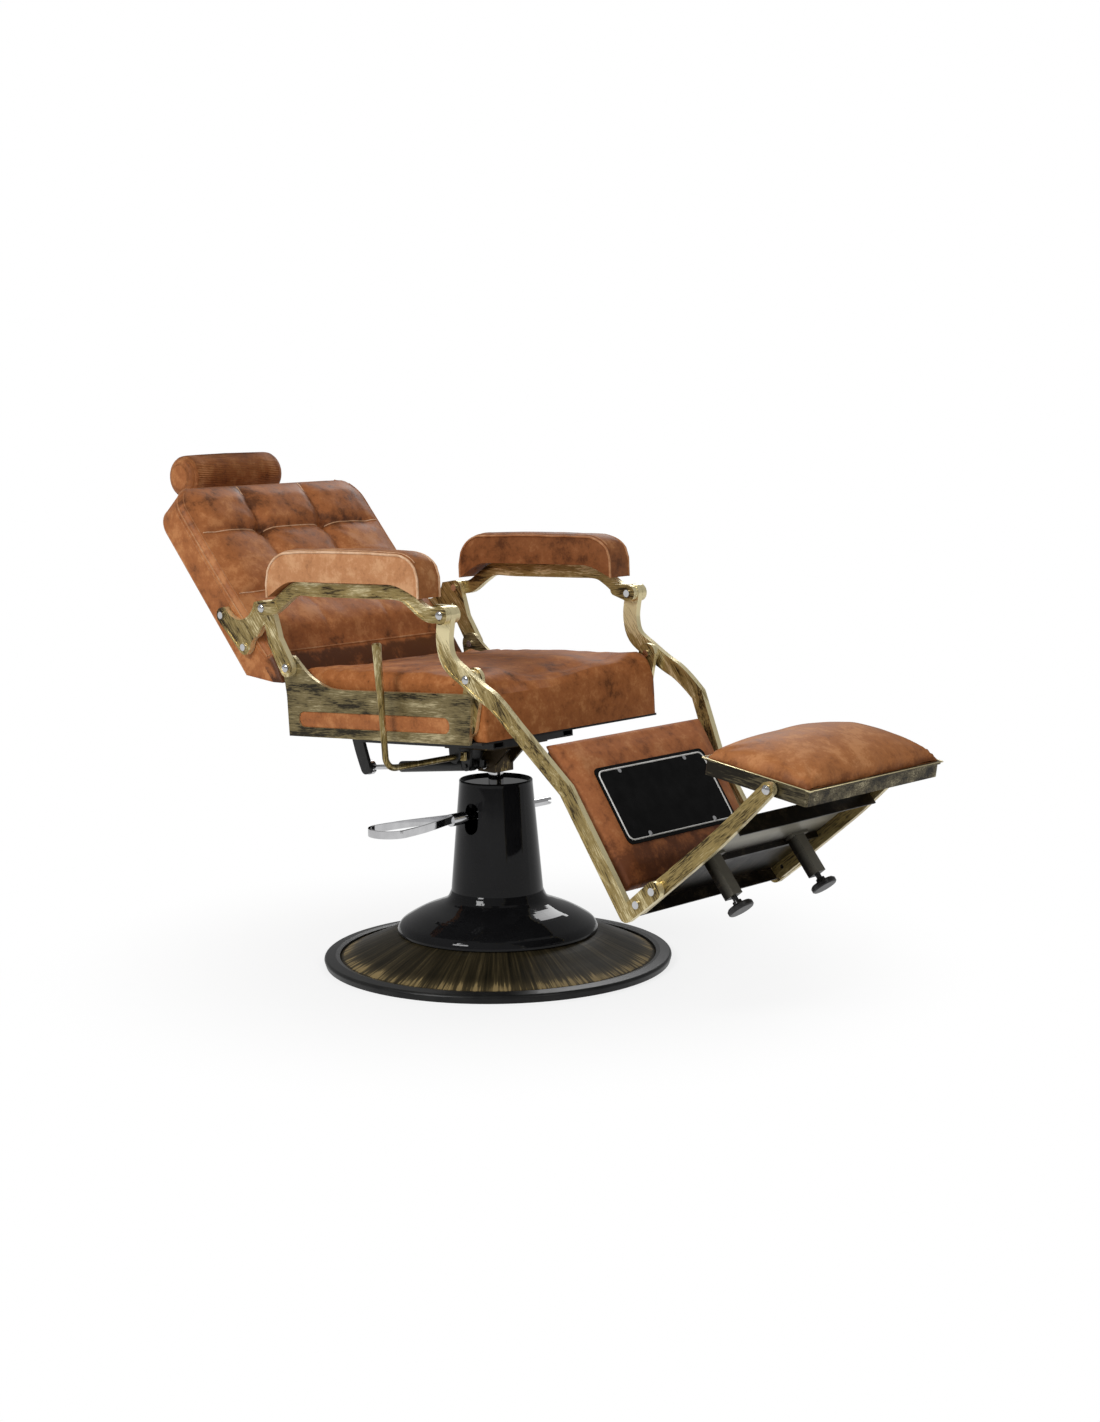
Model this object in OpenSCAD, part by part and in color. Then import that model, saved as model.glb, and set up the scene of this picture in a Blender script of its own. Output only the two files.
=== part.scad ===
// Hydraulic barber chair with a reclining back, level arms and a swinging leg rest.
// Millimetres. +X is the way the sitter faces, +Y is the sitter's left, +Z is up,
// and the origin is on the floor at the pump's axis. It stands lowered and reclined.

/* [Base] */
// Outer diameter of the rubber edge ring
base_d = 674; // [640:1:740]
// Width of the edge ring seen from above
ring_w = 30; // [24:1:36]
// Height of the edge ring
ring_h = 18; // [16:1:24]
// Thickness of the steel floor plate
plate_t = 8; // [6:1:10]
// Height of the dish at its middle
dish_h = 66; // [60:1:76]
// Thickness of the dish's sheet metal
dish_t = 3; // [2:0.5:4]

/* [Pump] */
// Diameter of the skirt's edge
skirt_d = 388; // [360:1:420]
// Height of the skirt's edge above the floor
skirt_z = 62; // [58:1:66]
// Height of the cover's rim above the floor
cover_h = 356; // [340:1:370]
// Diameter of the cover at its rim
cover_top_d = 141; // [136:1:150]
// Diameter of the cover at the foot of its cone
cover_foot_d = 178; // [170:1:184]
// Height of the foot of the cone above the floor
cone_z = 140; // [136:1:150]
// Wall of the cover
cover_t = 3; // [2:0.5:4]
// Depth of the cap below the cover's rim
cap_drop = 5; // [3:1:8]
// Thickness of the cap
cap_t = 8; // [6:1:10]
// Outer diameter of the pump cylinder
cyl_d = 72; // [70:1:74]
// Bore of the pump cylinder
cyl_bore_d = 56; // [50:1:60]
// Diameter of the piston rod
rod_d = 30; // [28:1:36]
// Diameter of the rod's spigots, top and bottom
spigot_d = 24; // [20:1:26]
// Length of chrome rod showing when lowered
rod_show = 16; // [12:1:24]
// Height that the chair lifts
lift_travel = 150; // [100:5:160]

/* [Foot pump pedal] */
// Height of the pedal's shaft
pedal_z = 292; // [285:1:300]
// Diameter of the pedal's shaft
shaft_d = 16; // [14:1:18]
// Distance of the shaft's near end from the pump's axis
shaft_near = 107; // [100:1:115]
// Distance of the shaft's far end from the pump's axis
shaft_far = 149; // [130:1:155]
// Downward travel of the pedal in degrees
pedal_down = 12; // [8:1:12]
// Upward travel of the pedal, which lets the chair down
pedal_up = 5; // [3:1:5]
// Width of the pedal's loop
loop_w = 78; // [70:1:90]
// Distance of the loop's tip from the pump's axis
loop_reach = 320; // [310:1:335]
// Height of the loop's strip
loop_h = 14; // [10:1:16]
// Thickness of the loop's strip
loop_t = 5; // [4:0.5:6]

/* [Seat] */
// Height of the seat frame's top at the pump's axis
seat_z = 458; // [450:1:470]
// Backward tilt of the seat in degrees
seat_tilt = 3.5; // [2:0.5:5]
// Distance of the side panels' rear edge behind the pump's axis
panel_rear = 311; // [300:1:320]
// Distance of the side panels' front edge ahead of the pump's axis
panel_front = 188; // [180:1:195]
// Height of the side panels
panel_h = 92; // [84:1:98]
// Thickness of the side panels
panel_t = 8; // [6:1:10]
// Distance between the side panels' outer faces
seat_w = 500; // [480:1:520]
// Length of the recessed leather strip
strip_l = 410; // [380:1:430]
// Height of the recessed leather strip
strip_h = 30; // [24:1:36]
// Depth of the strip's recess
strip_d = 4; // [3:0.5:5]
// Thickness of the seat board
board_t = 10; // [8:1:14]
// Distance of the seat cushion's front ahead of the pump's axis
cushion_front = 205; // [198:1:212]
// Distance of the seat cushion's rear behind the pump's axis
cushion_rear = 288; // [280:1:292]
// Height of the cushion's edge above the seat frame's top
cushion_h = 122; // [110:1:126]
// Rise of the cushion's crown above its edge
cushion_crown = 10; // [6:1:14]
// Height of the steel rails under the board
rail_h = 28; // [24:1:32]
// Width of the steel rails
rail_w = 30; // [24:1:36]

/* [Linkage] */
// Rear pivot, behind the pump's axis
pivot_rear = 295; // [290:1:300]
// Rear pivot, above the seat frame's top
pivot_rear_h = 133; // [130:1:137]
// Front pivot, ahead of the pump's axis
pivot_front = 191; // [186:1:194]
// Front pivot, above the seat frame's top
pivot_front_h = 120; // [116:1:124]
// Distance from a seat pivot to the arm pivot above it
lever_l = 124; // [118:1:130]
// Lean of the levers behind upright when reclined, in degrees
lever_lean = 24.3; // [22:0.1:27]
// Thickness of the links, brackets and arm bars
bar_t = 12; // [11:0.5:12]
// Clearance between links that pass each other
side_gap = 0.5; // [0.5:0.1:1]
// Diameter of the pivot bolts
bolt_d = 10; // [8:1:12]
// Diameter of the pivot bolts' domed heads
head_d = 17; // [15:1:19]
// Radial clearance of a turning pin in its hole
pin_gap = 0.05; // [0.02:0.01:0.1]
// Swing of the back from reclined to upright in degrees
recline_swing = 30; // [20:1:30]

/* [Back] */
// Angle of the back behind upright when reclined, in degrees
back_lean = 41.4; // [38:0.2:44]
// Width of the back
back_w = 500; // [480:1:500]
// Height of the back's top above the rear pivot, along the back
back_top = 488; // [480:1:495]
// Distance of the back's rear face behind the rear pivot
back_rear = 115; // [112:1:118]
// Thickness of the upholstered shell
shell_t = 54; // [52:1:56]
// Radius of the back's top corners
back_r = 65; // [50:1:75]
// Rise of the tufted squares above the side seams
tuft_rise = 6; // [4:1:8]
// Depth of the tufting below the side seams
tuft_dip = 12; // [8:1:14]
// Height of the upper row of tufts above the rear pivot
tuft_row = 364; // [355:1:372]
// Distance between the rows of tufts
tuft_pitch = 156; // [145:1:165]
// Radius of the brackets' screw lobes
lobe_r = 15; // [14:1:17]

/* [Headrest] */
// Diameter of the headrest roll
roll_d = 84; // [76:1:90]
// Length of the headrest roll
roll_l = 255; // [240:1:280]
// Height of the roll's axis above the rear pivot, along the back
roll_up = 575; // [570:1:585]
// Distance of the roll's axis behind the rear pivot
roll_back = 128; // [124:1:132]
// Width of the headrest's flat post
post_w = 38; // [34:1:44]
// Thickness of the headrest's flat post
post_t = 6; // [5:0.5:8]
// Upward travel of the headrest
headrest_travel = 80; // [50:5:90]

/* [Arms] */
// Width of an arm pad
pad_w = 56; // [52:1:64]
// Height of an arm pad's top above the arm pivots
pad_h = 108; // [104:1:114]
// Height of the arm bar's level stretch above the arm pivots
bar_rise = 38.5; // [36:0.5:41]
// Half depth of the arm bar's level stretch
bar_half = 10; // [8:0.5:11]
// Rise of an arm pad's crown
pad_crown = 5; // [3:1:7]

/* [Leg rest] */
// Lean of the leg rest forward of vertical when reclined, in degrees
leg_lean = 34.5; // [32:0.5:37]
// Distance from the front pivot down to the link's corner
leg_l = 506; // [490:1:510]
// Distance of the link's lower leg ahead of the front pivot
leg_x = 55.5; // [52:0.5:58]
// Half width of the link's lower leg
leg_half = 14.5; // [13:0.5:16]
// Distance between the outer faces of the lower legs
leg_w = 434; // [428:1:440]
// Distance from the front pivot down to the top of the calf pad
calf_top = 174; // [170:1:180]
// Space between the calf pad's foot and the link's corner
calf_end = 40; // [32:1:52]
// Width of the calf pad at its top
calf_w = 418; // [406:1:420]
// Width of the calf pad at its foot
calf_w_low = 380; // [370:1:390]
// Thickness of the calf pad's board
calf_board_t = 8; // [6:1:10]
// Thickness of the calf pad at its edge
calf_edge_t = 13; // [10:1:16]
// Rise of the calf pad's crown
calf_crown = 11; // [8:1:12]
// Width of the blank plate
tag_w = 304.8; // [290:0.1:310]
// Height of the blank plate
tag_h = 152.4; // [145:0.1:160]
// Thickness of the blank plate
tag_t = 1.5; // [1:0.5:2]
// Distance from the pad's top down to the plate's top
tag_drop = 67; // [60:1:75]

/* [Footrest] */
// Rise of the foot bars above level when reclined, in degrees
foot_rise = 38.8; // [37:0.2:41]
// Distance along the foot bars from the links' corner to the tray's pivot
foot_l = 388; // [380:1:395]
// Height of the tray's pivot above the foot bars' centre line
foot_kick = 10; // [6:1:12]
// Half width of a foot bar
foot_half = 15; // [13:0.5:16]
// Length of the foot plate
step_l = 275; // [262:1:284]
// Thickness of the foot plate's sheet metal
step_t = 3; // [2:0.5:4]
// Distance of the glides from the middle
glide_y = 119; // [100:1:130]
// Width of a glide's flat stem
stem_w = 24; // [20:1:28]
// Length of a glide's stem below the foot plate
stem_l = 83; // [76:1:88]
// Diameter of a glide's disc
glide_d = 48; // [40:1:52]
// Adjustment of the glides
glide_travel = 8; // [4:1:9]
// Fall of the tray towards its front, in degrees
tray_fall = 8.6; // [6:0.2:10]
// Width of the tray between its side walls' outer faces
tray_w = 379; // [374:1:381]
// Distance of the tray's rear edge behind its pivot
tray_rear = 150; // [145:1:152]
// Distance of the tray's front edge ahead of its pivot
tray_front = 78; // [74:1:82]
// Height of the tray's rim above its pivot
tray_rim = 15; // [14:0.5:16]
// Height of the tray's wall
tray_h = 28; // [26:1:31]
// Wall of the tray
tray_t = 2.5; // [2:0.5:3]
// Rise of the footrest's dome above the rim
dome_h = 52; // [40:1:60]

/* [Recline gear] */
// Distance of the strut and its crank from the middle
strut_y = 50; // [46:1:56]
// Strut's front pin, behind the pump's axis
strut_front = 15; // [12:1:20]
// Strut's front pin, above the floor
strut_front_z = 387; // [384:1:390]
// Strut's rear pin, behind the pump's axis
strut_rear = 300; // [295:1:305]
// Strut's rear pin, above the floor
strut_rear_z = 352; // [350:1:356]
// Diameter of the strut's cylinder
strut_d = 22; // [20:1:24]
// Diameter of the strut's rod
strut_rod_d = 10; // [8:1:11]
// Diameter of the strut's pins
strut_pin_d = 8; // [7:1:9]
// Clearance round the rear pin, for the opened linkage
eye_gap = 4.2; // [4:0.1:5]
// Release lever's shaft, behind the pump's axis
lever_x = 15; // [10:1:24]
// Release lever's shaft, above the floor
lever_z = 408; // [406:1:412]
// Release lever's distance outside the side panels
lever_y = 26; // [24:1:32]
// Height of the release lever's top above the floor
lever_top = 642; // [620:1:650]
// Diameter of the release lever's rod
lever_d = 12; // [10:1:14]
// Diameter of the release lever's grip at its top
grip_d = 18; // [16:1:22]
// Length of the release lever's grip
grip_l = 118; // [100:1:130]
// Lean of the release lever behind upright, in degrees
lever_tilt = 5; // [0:1:6]

/* [Hidden] */
$fn = 64;

// Space between a soft solid and what it lies on
soft_gap = 0.3;
// Space between neighbouring hard pieces of one body
seat_gap = 0.2;
// Points on a rounded end
round_n = 12;

// ---- outlines ------------------------------------------------------------

// Points on an arc about c, from angle a0 to a1
function arc(c, r, a0, a1, n = round_n) =
    [for (i = [0:n]) let(a = a0 + (a1 - a0) * i / n) c + r * [cos(a), sin(a)]];

// A smooth line through the points p, with n steps between neighbours
function spline(p, n = 6) =
    let(m = len(p) - 1)
    [for (i = [0:m - 1]) for (k = [0:n - 1])
        let(a = p[max(i - 1, 0)], b = p[i], c = p[i + 1], d = p[min(i + 2, m)], t = k / n)
        0.5 * (2 * b + (c - a) * t + (2 * a - 5 * b + 4 * c - d) * t * t
            + (3 * b - a - 3 * c + d) * t * t * t), p[m]];

// The unit vector square to the line p at its point i, on its left
function left_of(p, i) =
    let(d = p[min(i + 1, len(p) - 1)] - p[max(i - 1, 0)]) [-d[1], d[0]] / norm(d);

// The line p moved sideways by h0 at its start and h1 at its end
function beside(p, h0, h1) =
    [for (i = [0:len(p) - 1]) p[i] + left_of(p, i) * (h0 + (h1 - h0) * i / (len(p) - 1))];

// The points p in reverse order
function reverse(p) = [for (i = [len(p) - 1:-1:0]) p[i]];

// The points p of a right-hand side joined to their mirror images on the left
function mirrored(p) = concat(p, [for (q = reverse(p)) [-q[0], q[1]]]);

// A band of changing width along the line p
module ribbon(p, h0, h1)
    polygon(concat(beside(p, h0, h1), reverse(beside(p, -h0, -h1))));

// The direction of the vector d in degrees
function heading(d) = atan2(d[1], d[0]);

// The same band with round ends
module strap(p, h0, h1) {
    m = len(p) - 1;
    back = heading(p[0] - p[1]);
    ahead = heading(p[m] - p[m - 1]);
    polygon(concat(beside(p, h0, h1), arc(p[m], h1, ahead + 90, ahead - 90),
        reverse(beside(p, -h0, -h1)), arc(p[0], h0, back + 90, back - 90)));
}

// A bar with round ends of radius r0 at a and r1 at b
module bar(a, r0, b, r1) {
    d = b - a;
    turn = heading(d);
    lean = acos((r0 - r1) / norm(d));
    polygon(concat(arc(b, r1, turn - lean, turn + lean), arc(a, r0, turn + lean, turn + 360 - lean)));
}

// A rectangle with rounded corners, centred
module rounded(w, h, r) {
    x = w / 2 - r;
    y = h / 2 - r;
    polygon(concat(arc([x, y], r, 0, 90, 6), arc([-x, y], r, 90, 180, 6),
        arc([-x, -y], r, 180, 270, 6), arc([x, -y], r, 270, 360, 6)));
}

// ---- placing -------------------------------------------------------------

// A plate with an outline in X and Z, standing from y to y + t
module slab(y, t)
    translate([0, y + t, 0])
        rotate([90, 0, 0])
            linear_extrude(t)
                children();

// A round bar along Y, from y0 to y1, at p in X and Z
module pin(p, y0, y1, d)
    translate([p[0], y1, p[1]])
        rotate([90, 0, 0])
            cylinder(d = d, h = y1 - y0);

// The sitter's right-hand copy of a left-hand piece
module right()
    mirror([0, 1, 0])
        children();

// Both hands of a left-hand piece
module both() {
    children();
    right()
        children();
}

// Places a frame at p in X and Z, leaning back from upright by the angle a
module frame_at(p, a)
    translate([p[0], 0, p[1]])
        rotate([0, -a, 0])
            children();

// A point of a frame at p with lean a, in the chair's X and Z
function in_frame(p, a, q) =
    p + q[0] * [cos(a), sin(a)] + q[1] * [-sin(a), cos(a)];

// A closed skin over a grid of nu by nv squares: top(u, v) above bottom(u, v)
module skin(nu, nv, top, bottom) {
    row = nv + 1;
    count = (nu + 1) * row;
    rim = concat([for (i = [0:nu - 1]) i * row], [for (j = [0:nv - 1]) nu * row + j],
        [for (i = [nu:-1:1]) i * row + nv], [for (j = [nv:-1:1]) j]);
    points = concat([for (i = [0:nu]) for (j = [0:nv]) top(i / nu, j / nv)],
        [for (i = [0:nu]) for (j = [0:nv]) bottom(i / nu, j / nv)]);
    faces = concat(
        [for (i = [0:nu - 1]) for (j = [0:nv - 1]) for (k = [0, 1])
            let(a = i * row + j, b = a + row, c = b + 1, d = a + 1)
            k == 0 ? [a, c, b] : [a, d, c]],
        [for (i = [0:nu - 1]) for (j = [0:nv - 1]) for (k = [0, 1])
            let(a = count + i * row + j, b = a + row, c = b + 1, d = a + 1)
            k == 0 ? [a, b, c] : [a, c, d]],
        [for (i = [0:len(rim) - 1]) for (k = [0, 1])
            let(a = rim[i], b = rim[(i + 1) % len(rim)])
            k == 0 ? [a, b, count + b] : [a, count + b, count + a]]);
    polyhedron(points, faces, convexity = 6);
}

// How far a rounded edge of radius r falls at the distance d in from the edge
function edge_drop(d, r) = d >= r ? 0 : r - sqrt(max(0, r * r - (r - max(d, 0)) * (r - max(d, 0))));

// ---- frames and pivots ---------------------------------------------------

seat_o = [0, seat_z];
pivot_a = in_frame(seat_o, seat_tilt, [-pivot_rear, pivot_rear_h]);
pivot_d = in_frame(seat_o, seat_tilt, [pivot_front, pivot_front_h]);
lever = lever_l * [-sin(lever_lean), cos(lever_lean)];
pivot_b = pivot_a + lever;
pivot_c = pivot_d + lever;
span = pivot_d - pivot_a;
span_l = norm(span);
arm_rise = atan2(span[1], span[0]);
leg_corner = in_frame(pivot_d, leg_lean, [leg_x, -leg_l]);
foot_pivot = in_frame(leg_corner, foot_rise, [foot_l, foot_kick]);

// Side faces, measured from the middle
calf_l = leg_l - calf_top - calf_end;
panel_out = seat_w / 2;
panel_in = panel_out - panel_t;
lever_side = panel_out + lever_y;
link_in = max(panel_out, back_w / 2) + side_gap;
link_out = link_in + bar_t;
arm_in = link_out + side_gap;
arm_out = arm_in + bar_t;
head_h = 6;
hole_d = bolt_d + 2 * pin_gap;

module on_seat()
    frame_at(seat_o, seat_tilt)
        children();

module on_back()
    frame_at(pivot_a, back_lean)
        children();

module on_arm()
    frame_at(pivot_b, arm_rise)
        children();

module on_leg()
    frame_at(pivot_d, leg_lean)
        children();

module on_foot()
    frame_at(leg_corner, foot_rise)
        children();

module on_tray()
    frame_at(foot_pivot, -tray_fall)
        children();

// A domed bolt along Y with its head outside y1 and a nut inside y0
module pivot_bolt(p, y0, y1, nut = 5) {
    pin(p, y0 - nut, y1 + 1, bolt_d);
    translate([p[0], y1, p[1]])
        rotate([-90, 0, 0])
            rotate_extrude()
                polygon(concat([[0, 0], [head_d / 2, 0]],
                    [for (a = [0:15:90]) [head_d / 2 * cos(a), 1.5 + (head_h - 1.5) * sin(a)]]));
    if (nut > 0)
        pin(p, y0 - nut, y0, head_d - 3);
}

// ---- base ----------------------------------------------------------------

ring_in = base_d / 2 - ring_w;
plate_r = ring_in + 10;

module base_plate()
    color("dimgray")
        cylinder(r = plate_r, h = plate_t);

// The dish rests on the plate inside the ring and rises under the skirt
cyl_flange_d = cyl_d + 52;
dish_in = cyl_flange_d / 2 + 6;
skirt_r = skirt_d / 2;
dish_line = spline([[ring_in - seat_gap, plate_t + dish_t], [ring_in - 12, ring_h - 1],
    [(ring_in + skirt_r) / 2, (ring_h + skirt_z) / 2 - 4], [skirt_r, skirt_z - 3],
    [skirt_r - 50, dish_h], [dish_in, dish_h]], 5);

module base_dish()
    color("darkgoldenrod")
        rotate_extrude()
            polygon(concat(dish_line, reverse([for (q = dish_line) [q[0], max(q[1] - dish_t, plate_t)]])));

ring_r = 6;

module base_ring()
    color("black")
        rotate_extrude()
            polygon(concat([[plate_r + seat_gap, 0], [base_d / 2 - 3, 0]],
                arc([base_d / 2 - ring_r, ring_h - ring_r - 2], ring_r, 0, 90, 5),
                [[ring_in + 8, ring_h], [ring_in, ring_h - 2], [ring_in, plate_t + seat_gap],
                    [plate_r + seat_gap, plate_t + seat_gap]]));

// ---- pump ----------------------------------------------------------------

lip = 4;
cover_line = concat(
    [[skirt_r, skirt_z]],
    spline([[skirt_r, skirt_z + lip], [skirt_r - 4, skirt_z + 12.5], [skirt_r - 14, skirt_z + 21], [skirt_r - 43, skirt_z + 37],
        [cover_foot_d / 2 + 27, skirt_z + 51], [cover_foot_d / 2 + 9, cone_z - 17], [cover_foot_d / 2, cone_z]], 5),
    [[cover_top_d / 2 + 0.5, cover_h - 8]],
    arc([cover_top_d / 2 - 2.5, cover_h - 3], 3, 0, 90, 4));
cover_inner = concat(
    [[skirt_r - cover_t, skirt_z]],
    [for (i = [3:len(cover_line) - 6]) cover_line[i] + left_of(cover_line, i) * cover_t],
    [[cover_top_d / 2 - cover_t, cover_h - 8], [cover_top_d / 2 - cover_t, cover_h]]);
slot_w = shaft_d + 16;
slot_shift = 6;
slot_reach = cover_top_d / 2 + 6;
slot_low = slot_reach * tan(pedal_down) + shaft_d / 2 + 2;
slot_high = slot_reach * tan(pedal_up) + shaft_d / 2 + 3;

// The slot that the pedal's shaft rocks in, on one side of the cover
module pedal_slot(low, high)
    slab(cover_top_d / 4, cover_top_d)
        polygon(concat(arc([slot_shift, pedal_z + high - shaft_d / 2], slot_w / 2, 0, 180),
            arc([slot_shift, pedal_z - low + shaft_d / 2], slot_w / 2, 180, 360)));

module pump_cover()
    color("black")
        difference() {
            rotate_extrude()
                polygon(concat(cover_line, reverse(cover_inner)));
            pedal_slot(slot_high, slot_low);
            right()
                pedal_slot(slot_low, slot_high);
        }

cap_z = cover_h - cap_drop - cap_t;
trunnion_d = 14;
yoke_in = cyl_d / 2 + 4;
yoke_out = yoke_in + 14;
yoke_h = 22;
cyl_floor = 12;

module pump_cylinder()
    color("gray")
        difference() {
            union() {
                cylinder_at(plate_t, cap_z, cyl_d);
                cylinder_at(plate_t, plate_t + 10, cyl_flange_d);
                for (s = [-1, 1])
                    rotate([0, 90 * s, 0])
                        translate([-s * pedal_z, 0, cyl_d / 2 - 2])
                            cylinder(d = trunnion_d, h = yoke_out - cyl_d / 2 + 2);
            }
            cylinder_at(plate_t + cyl_floor, cap_z + 1, cyl_bore_d);
        }

// An upright cylinder of diameter d between two heights
module cylinder_at(z0, z1, d)
    translate([0, 0, z0])
        cylinder(d = d, h = z1 - z0);

module pump_cap()
    color("black")
        difference() {
            union() {
                cylinder_at(cap_z, cap_z + cap_t, cover_top_d - 2 * cover_t - 2 * seat_gap);
                cylinder_at(cap_z - 20, cap_z, cyl_bore_d - 2 * pin_gap);
            }
            cylinder_at(cap_z - 21, cap_z + cap_t + 1, rod_d + 2 * pin_gap);
        }

// ---- foot pedal ----------------------------------------------------------

module pedal_yoke()
    color("silver")
        difference() {
            union() {
                cylinder_at(pedal_z - yoke_h / 2, pedal_z + yoke_h / 2, 2 * yoke_out);
                pin([0, pedal_z], -shaft_near, -yoke_in, shaft_d);
                pin([0, pedal_z], yoke_in, shaft_far, shaft_d);
            }
            cylinder_at(pedal_z - yoke_h, pedal_z + yoke_h, 2 * yoke_in);
            for (s = [-1, 1])
                rotate([0, 90 * s, 0])
                    translate([-s * pedal_z, 0, 0])
                        cylinder(d = trunnion_d + 2 * pin_gap, h = yoke_out + 1);
            translate([-shaft_d, shaft_far - 10, pedal_z - 2.5])
                cube([2 * shaft_d, 11, 5]);
        }

// One side of the strip's line in plan, from the socket to the loop's tip
socket_l = 26;
loop_end = shaft_near + 4;
loop_side = loop_reach - loop_w / 2;
loop_line = concat(
    spline([[3, -loop_end], [6, -loop_end - 16], [loop_w / 2 - 8, -loop_side + 62], [loop_w / 2, -loop_side]], 6),
    arc([0, -loop_side], loop_w / 2, -9, -90, 9));

module pedal_loop()
    color("silver")
        difference() {
            union() {
                pin([0, pedal_z], -shaft_near - socket_l + 8, -shaft_near + 18, shaft_d + 8);
                translate([0, 0, pedal_z - 4])
                    linear_extrude(loop_h)
                        ribbon(concat(loop_line, [for (i = [len(loop_line) - 2:-1:0]) [-loop_line[i][0], loop_line[i][1]]]),
                            loop_t / 2, loop_t / 2);
            }
            pin([0, pedal_z], -shaft_near - seat_gap, -shaft_near + 30, shaft_d + 2 * seat_gap);
        }

// ---- lift ----------------------------------------------------------------

socket_z = cover_h + rod_show;
piston_z = plate_t + cyl_floor + 60;
piston_h = 30;
socket_top = seat_z - rail_h - 8;
spigot_top = socket_top - 6;

module piston_head()
    color("dimgray")
        difference() {
            cylinder_at(piston_z, piston_z + piston_h, cyl_bore_d - 2 * pin_gap);
            cylinder_at(piston_z - 1, piston_z + piston_h + 1, spigot_d + 2 * pin_gap);
        }

module piston_rod()
    color("silver")
        difference() {
            union() {
                cylinder_at(piston_z + 1, piston_z + piston_h + 1, spigot_d);
                cylinder_at(piston_z + piston_h, socket_z, rod_d);
                cylinder_at(socket_z - 1, spigot_top, spigot_d);
            }
            pin([0, socket_bolt_z], -rod_d, rod_d, socket_bolt_d + 2 * seat_gap);
        }

socket_bolt_z = socket_z + 15;
socket_bolt_d = 10;
socket_x = 44;
socket_y = 52;
flange_x = 130;
flange_y = 150;
flange_t = 8;
gusset_t = 6;

module pump_socket()
    color("darkgoldenrod")
        difference() {
            union() {
                translate([-socket_x / 2, -socket_y / 2, socket_z])
                    cube([socket_x, socket_y, socket_top - socket_z]);
                on_seat()
                    translate([-flange_x / 2, -flange_y / 2, -rail_h - flange_t])
                        cube([flange_x, flange_y, flange_t]);
                both()
                    slab(socket_y / 2 - gusset_t, gusset_t)
                        polygon([[-flange_x / 2 + 6, socket_top - 6], [-socket_x / 2 + 1, socket_z + 14],
                            [socket_x / 2 - 1, socket_z + 14], [flange_x / 2 - 6, socket_top]]);
            }
            cylinder_at(socket_z - 1, spigot_top + 1, spigot_d + 2 * pin_gap);
            pin([0, socket_bolt_z], -socket_y, socket_y, socket_bolt_d + 2 * seat_gap);
        }

module socket_bolt()
    color("silver") {
        pin([0, socket_bolt_z], -socket_y / 2 - 1, socket_y / 2 + 8, socket_bolt_d);
        pin([0, socket_bolt_z], -socket_y / 2 - 7, -socket_y / 2, head_d);
        pin([0, socket_bolt_z], socket_y / 2, socket_y / 2 + 8, head_d);
    }

// ---- seat frame ----------------------------------------------------------

rail_y = flange_y / 2 + rail_w / 2 + 5;
rail_front = panel_front - 88;
rail_rear = cushion_rear - 30;
crossbar_x = [-rail_rear, -flange_x / 2 + 2, flange_x / 2 - rail_w - 2, rail_front - rail_w];

module seat_rails()
    color("#202020")
        on_seat()
            both()
                translate([-rail_rear, rail_y - rail_w / 2, -rail_h])
                    difference() {
                        cube([rail_rear + rail_front, rail_w, rail_h - seat_gap]);
                        translate([-1, 3, 3])
                            cube([rail_rear + rail_front + 2, rail_w - 6, rail_h - 6]);
                    }

module seat_crossbars()
    color("#202020")
        on_seat()
            for (x = crossbar_x)
                translate([x, -rail_y + rail_w / 2 + seat_gap, -rail_h])
                    cube([rail_w, 2 * rail_y - rail_w - 2 * seat_gap, rail_h - seat_gap]);

board_y = panel_in - seat_gap;
// The board's thin front tongue, which the cushion's front lip covers
tongue_t = 4;
lip_l = 37;

module seat_board()
    color("#181818")
        on_seat()
            translate([-cushion_rear + 4, -board_y, 0]) {
                cube([cushion_rear + cushion_front - 4 - lip_l, 2 * board_y, board_t]);
                cube([cushion_rear + cushion_front - 8, 2 * board_y, tongue_t]);
            }

ear_r = 23;
ear_sweep = 100;
panel_line = concat(
    [[panel_front - 12, 0], [panel_front - 4, panel_h * 0.45], [panel_front, panel_h]],
    spline([[-pivot_rear + ear_sweep + 44, panel_h], [-pivot_rear + ear_sweep, panel_h + 5],
        [-pivot_rear + ear_sweep * 0.55, panel_h + 24], [-pivot_rear + ear_r - 3, pivot_rear_h + 12]], 6),
    arc([-pivot_rear, pivot_rear_h], ear_r, 30, 180, 10),
    [[-panel_rear, panel_h - 14], [-panel_rear, 0]]);
strip_u = (panel_front - panel_rear) / 2 - 14;
strip_w = strip_h / 2 + 18.5;

// The strip's outline, smaller all round by the margin m
module strip_outline(m)
    translate([strip_u, strip_w])
        rounded(strip_l - 2 * m, strip_h - 2 * m, strip_h / 2 - m - 0.5);

module side_panel()
    color("darkkhaki")
        difference() {
            on_seat()
                slab(panel_in, panel_t)
                    polygon(panel_line);
            on_seat()
                slab(panel_out - strip_d, strip_d + 1)
                    strip_outline(0);
            pin(pivot_a, panel_in - 1, panel_out + 1, bolt_d + 2 * seat_gap);
            pin(pivot_d, panel_in - 1, panel_out + 1, bolt_d + 2 * seat_gap);
        }

module side_strip()
    color("saddlebrown")
        on_seat()
            slab(panel_out - strip_d + soft_gap, strip_d - 1.3)
                strip_outline(soft_gap);

// The dark ear that carries the front pivot, behind the panel
ear_t = 8;
ear_in = panel_in - ear_t - seat_gap;
front_ear_r = 20;

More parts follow.
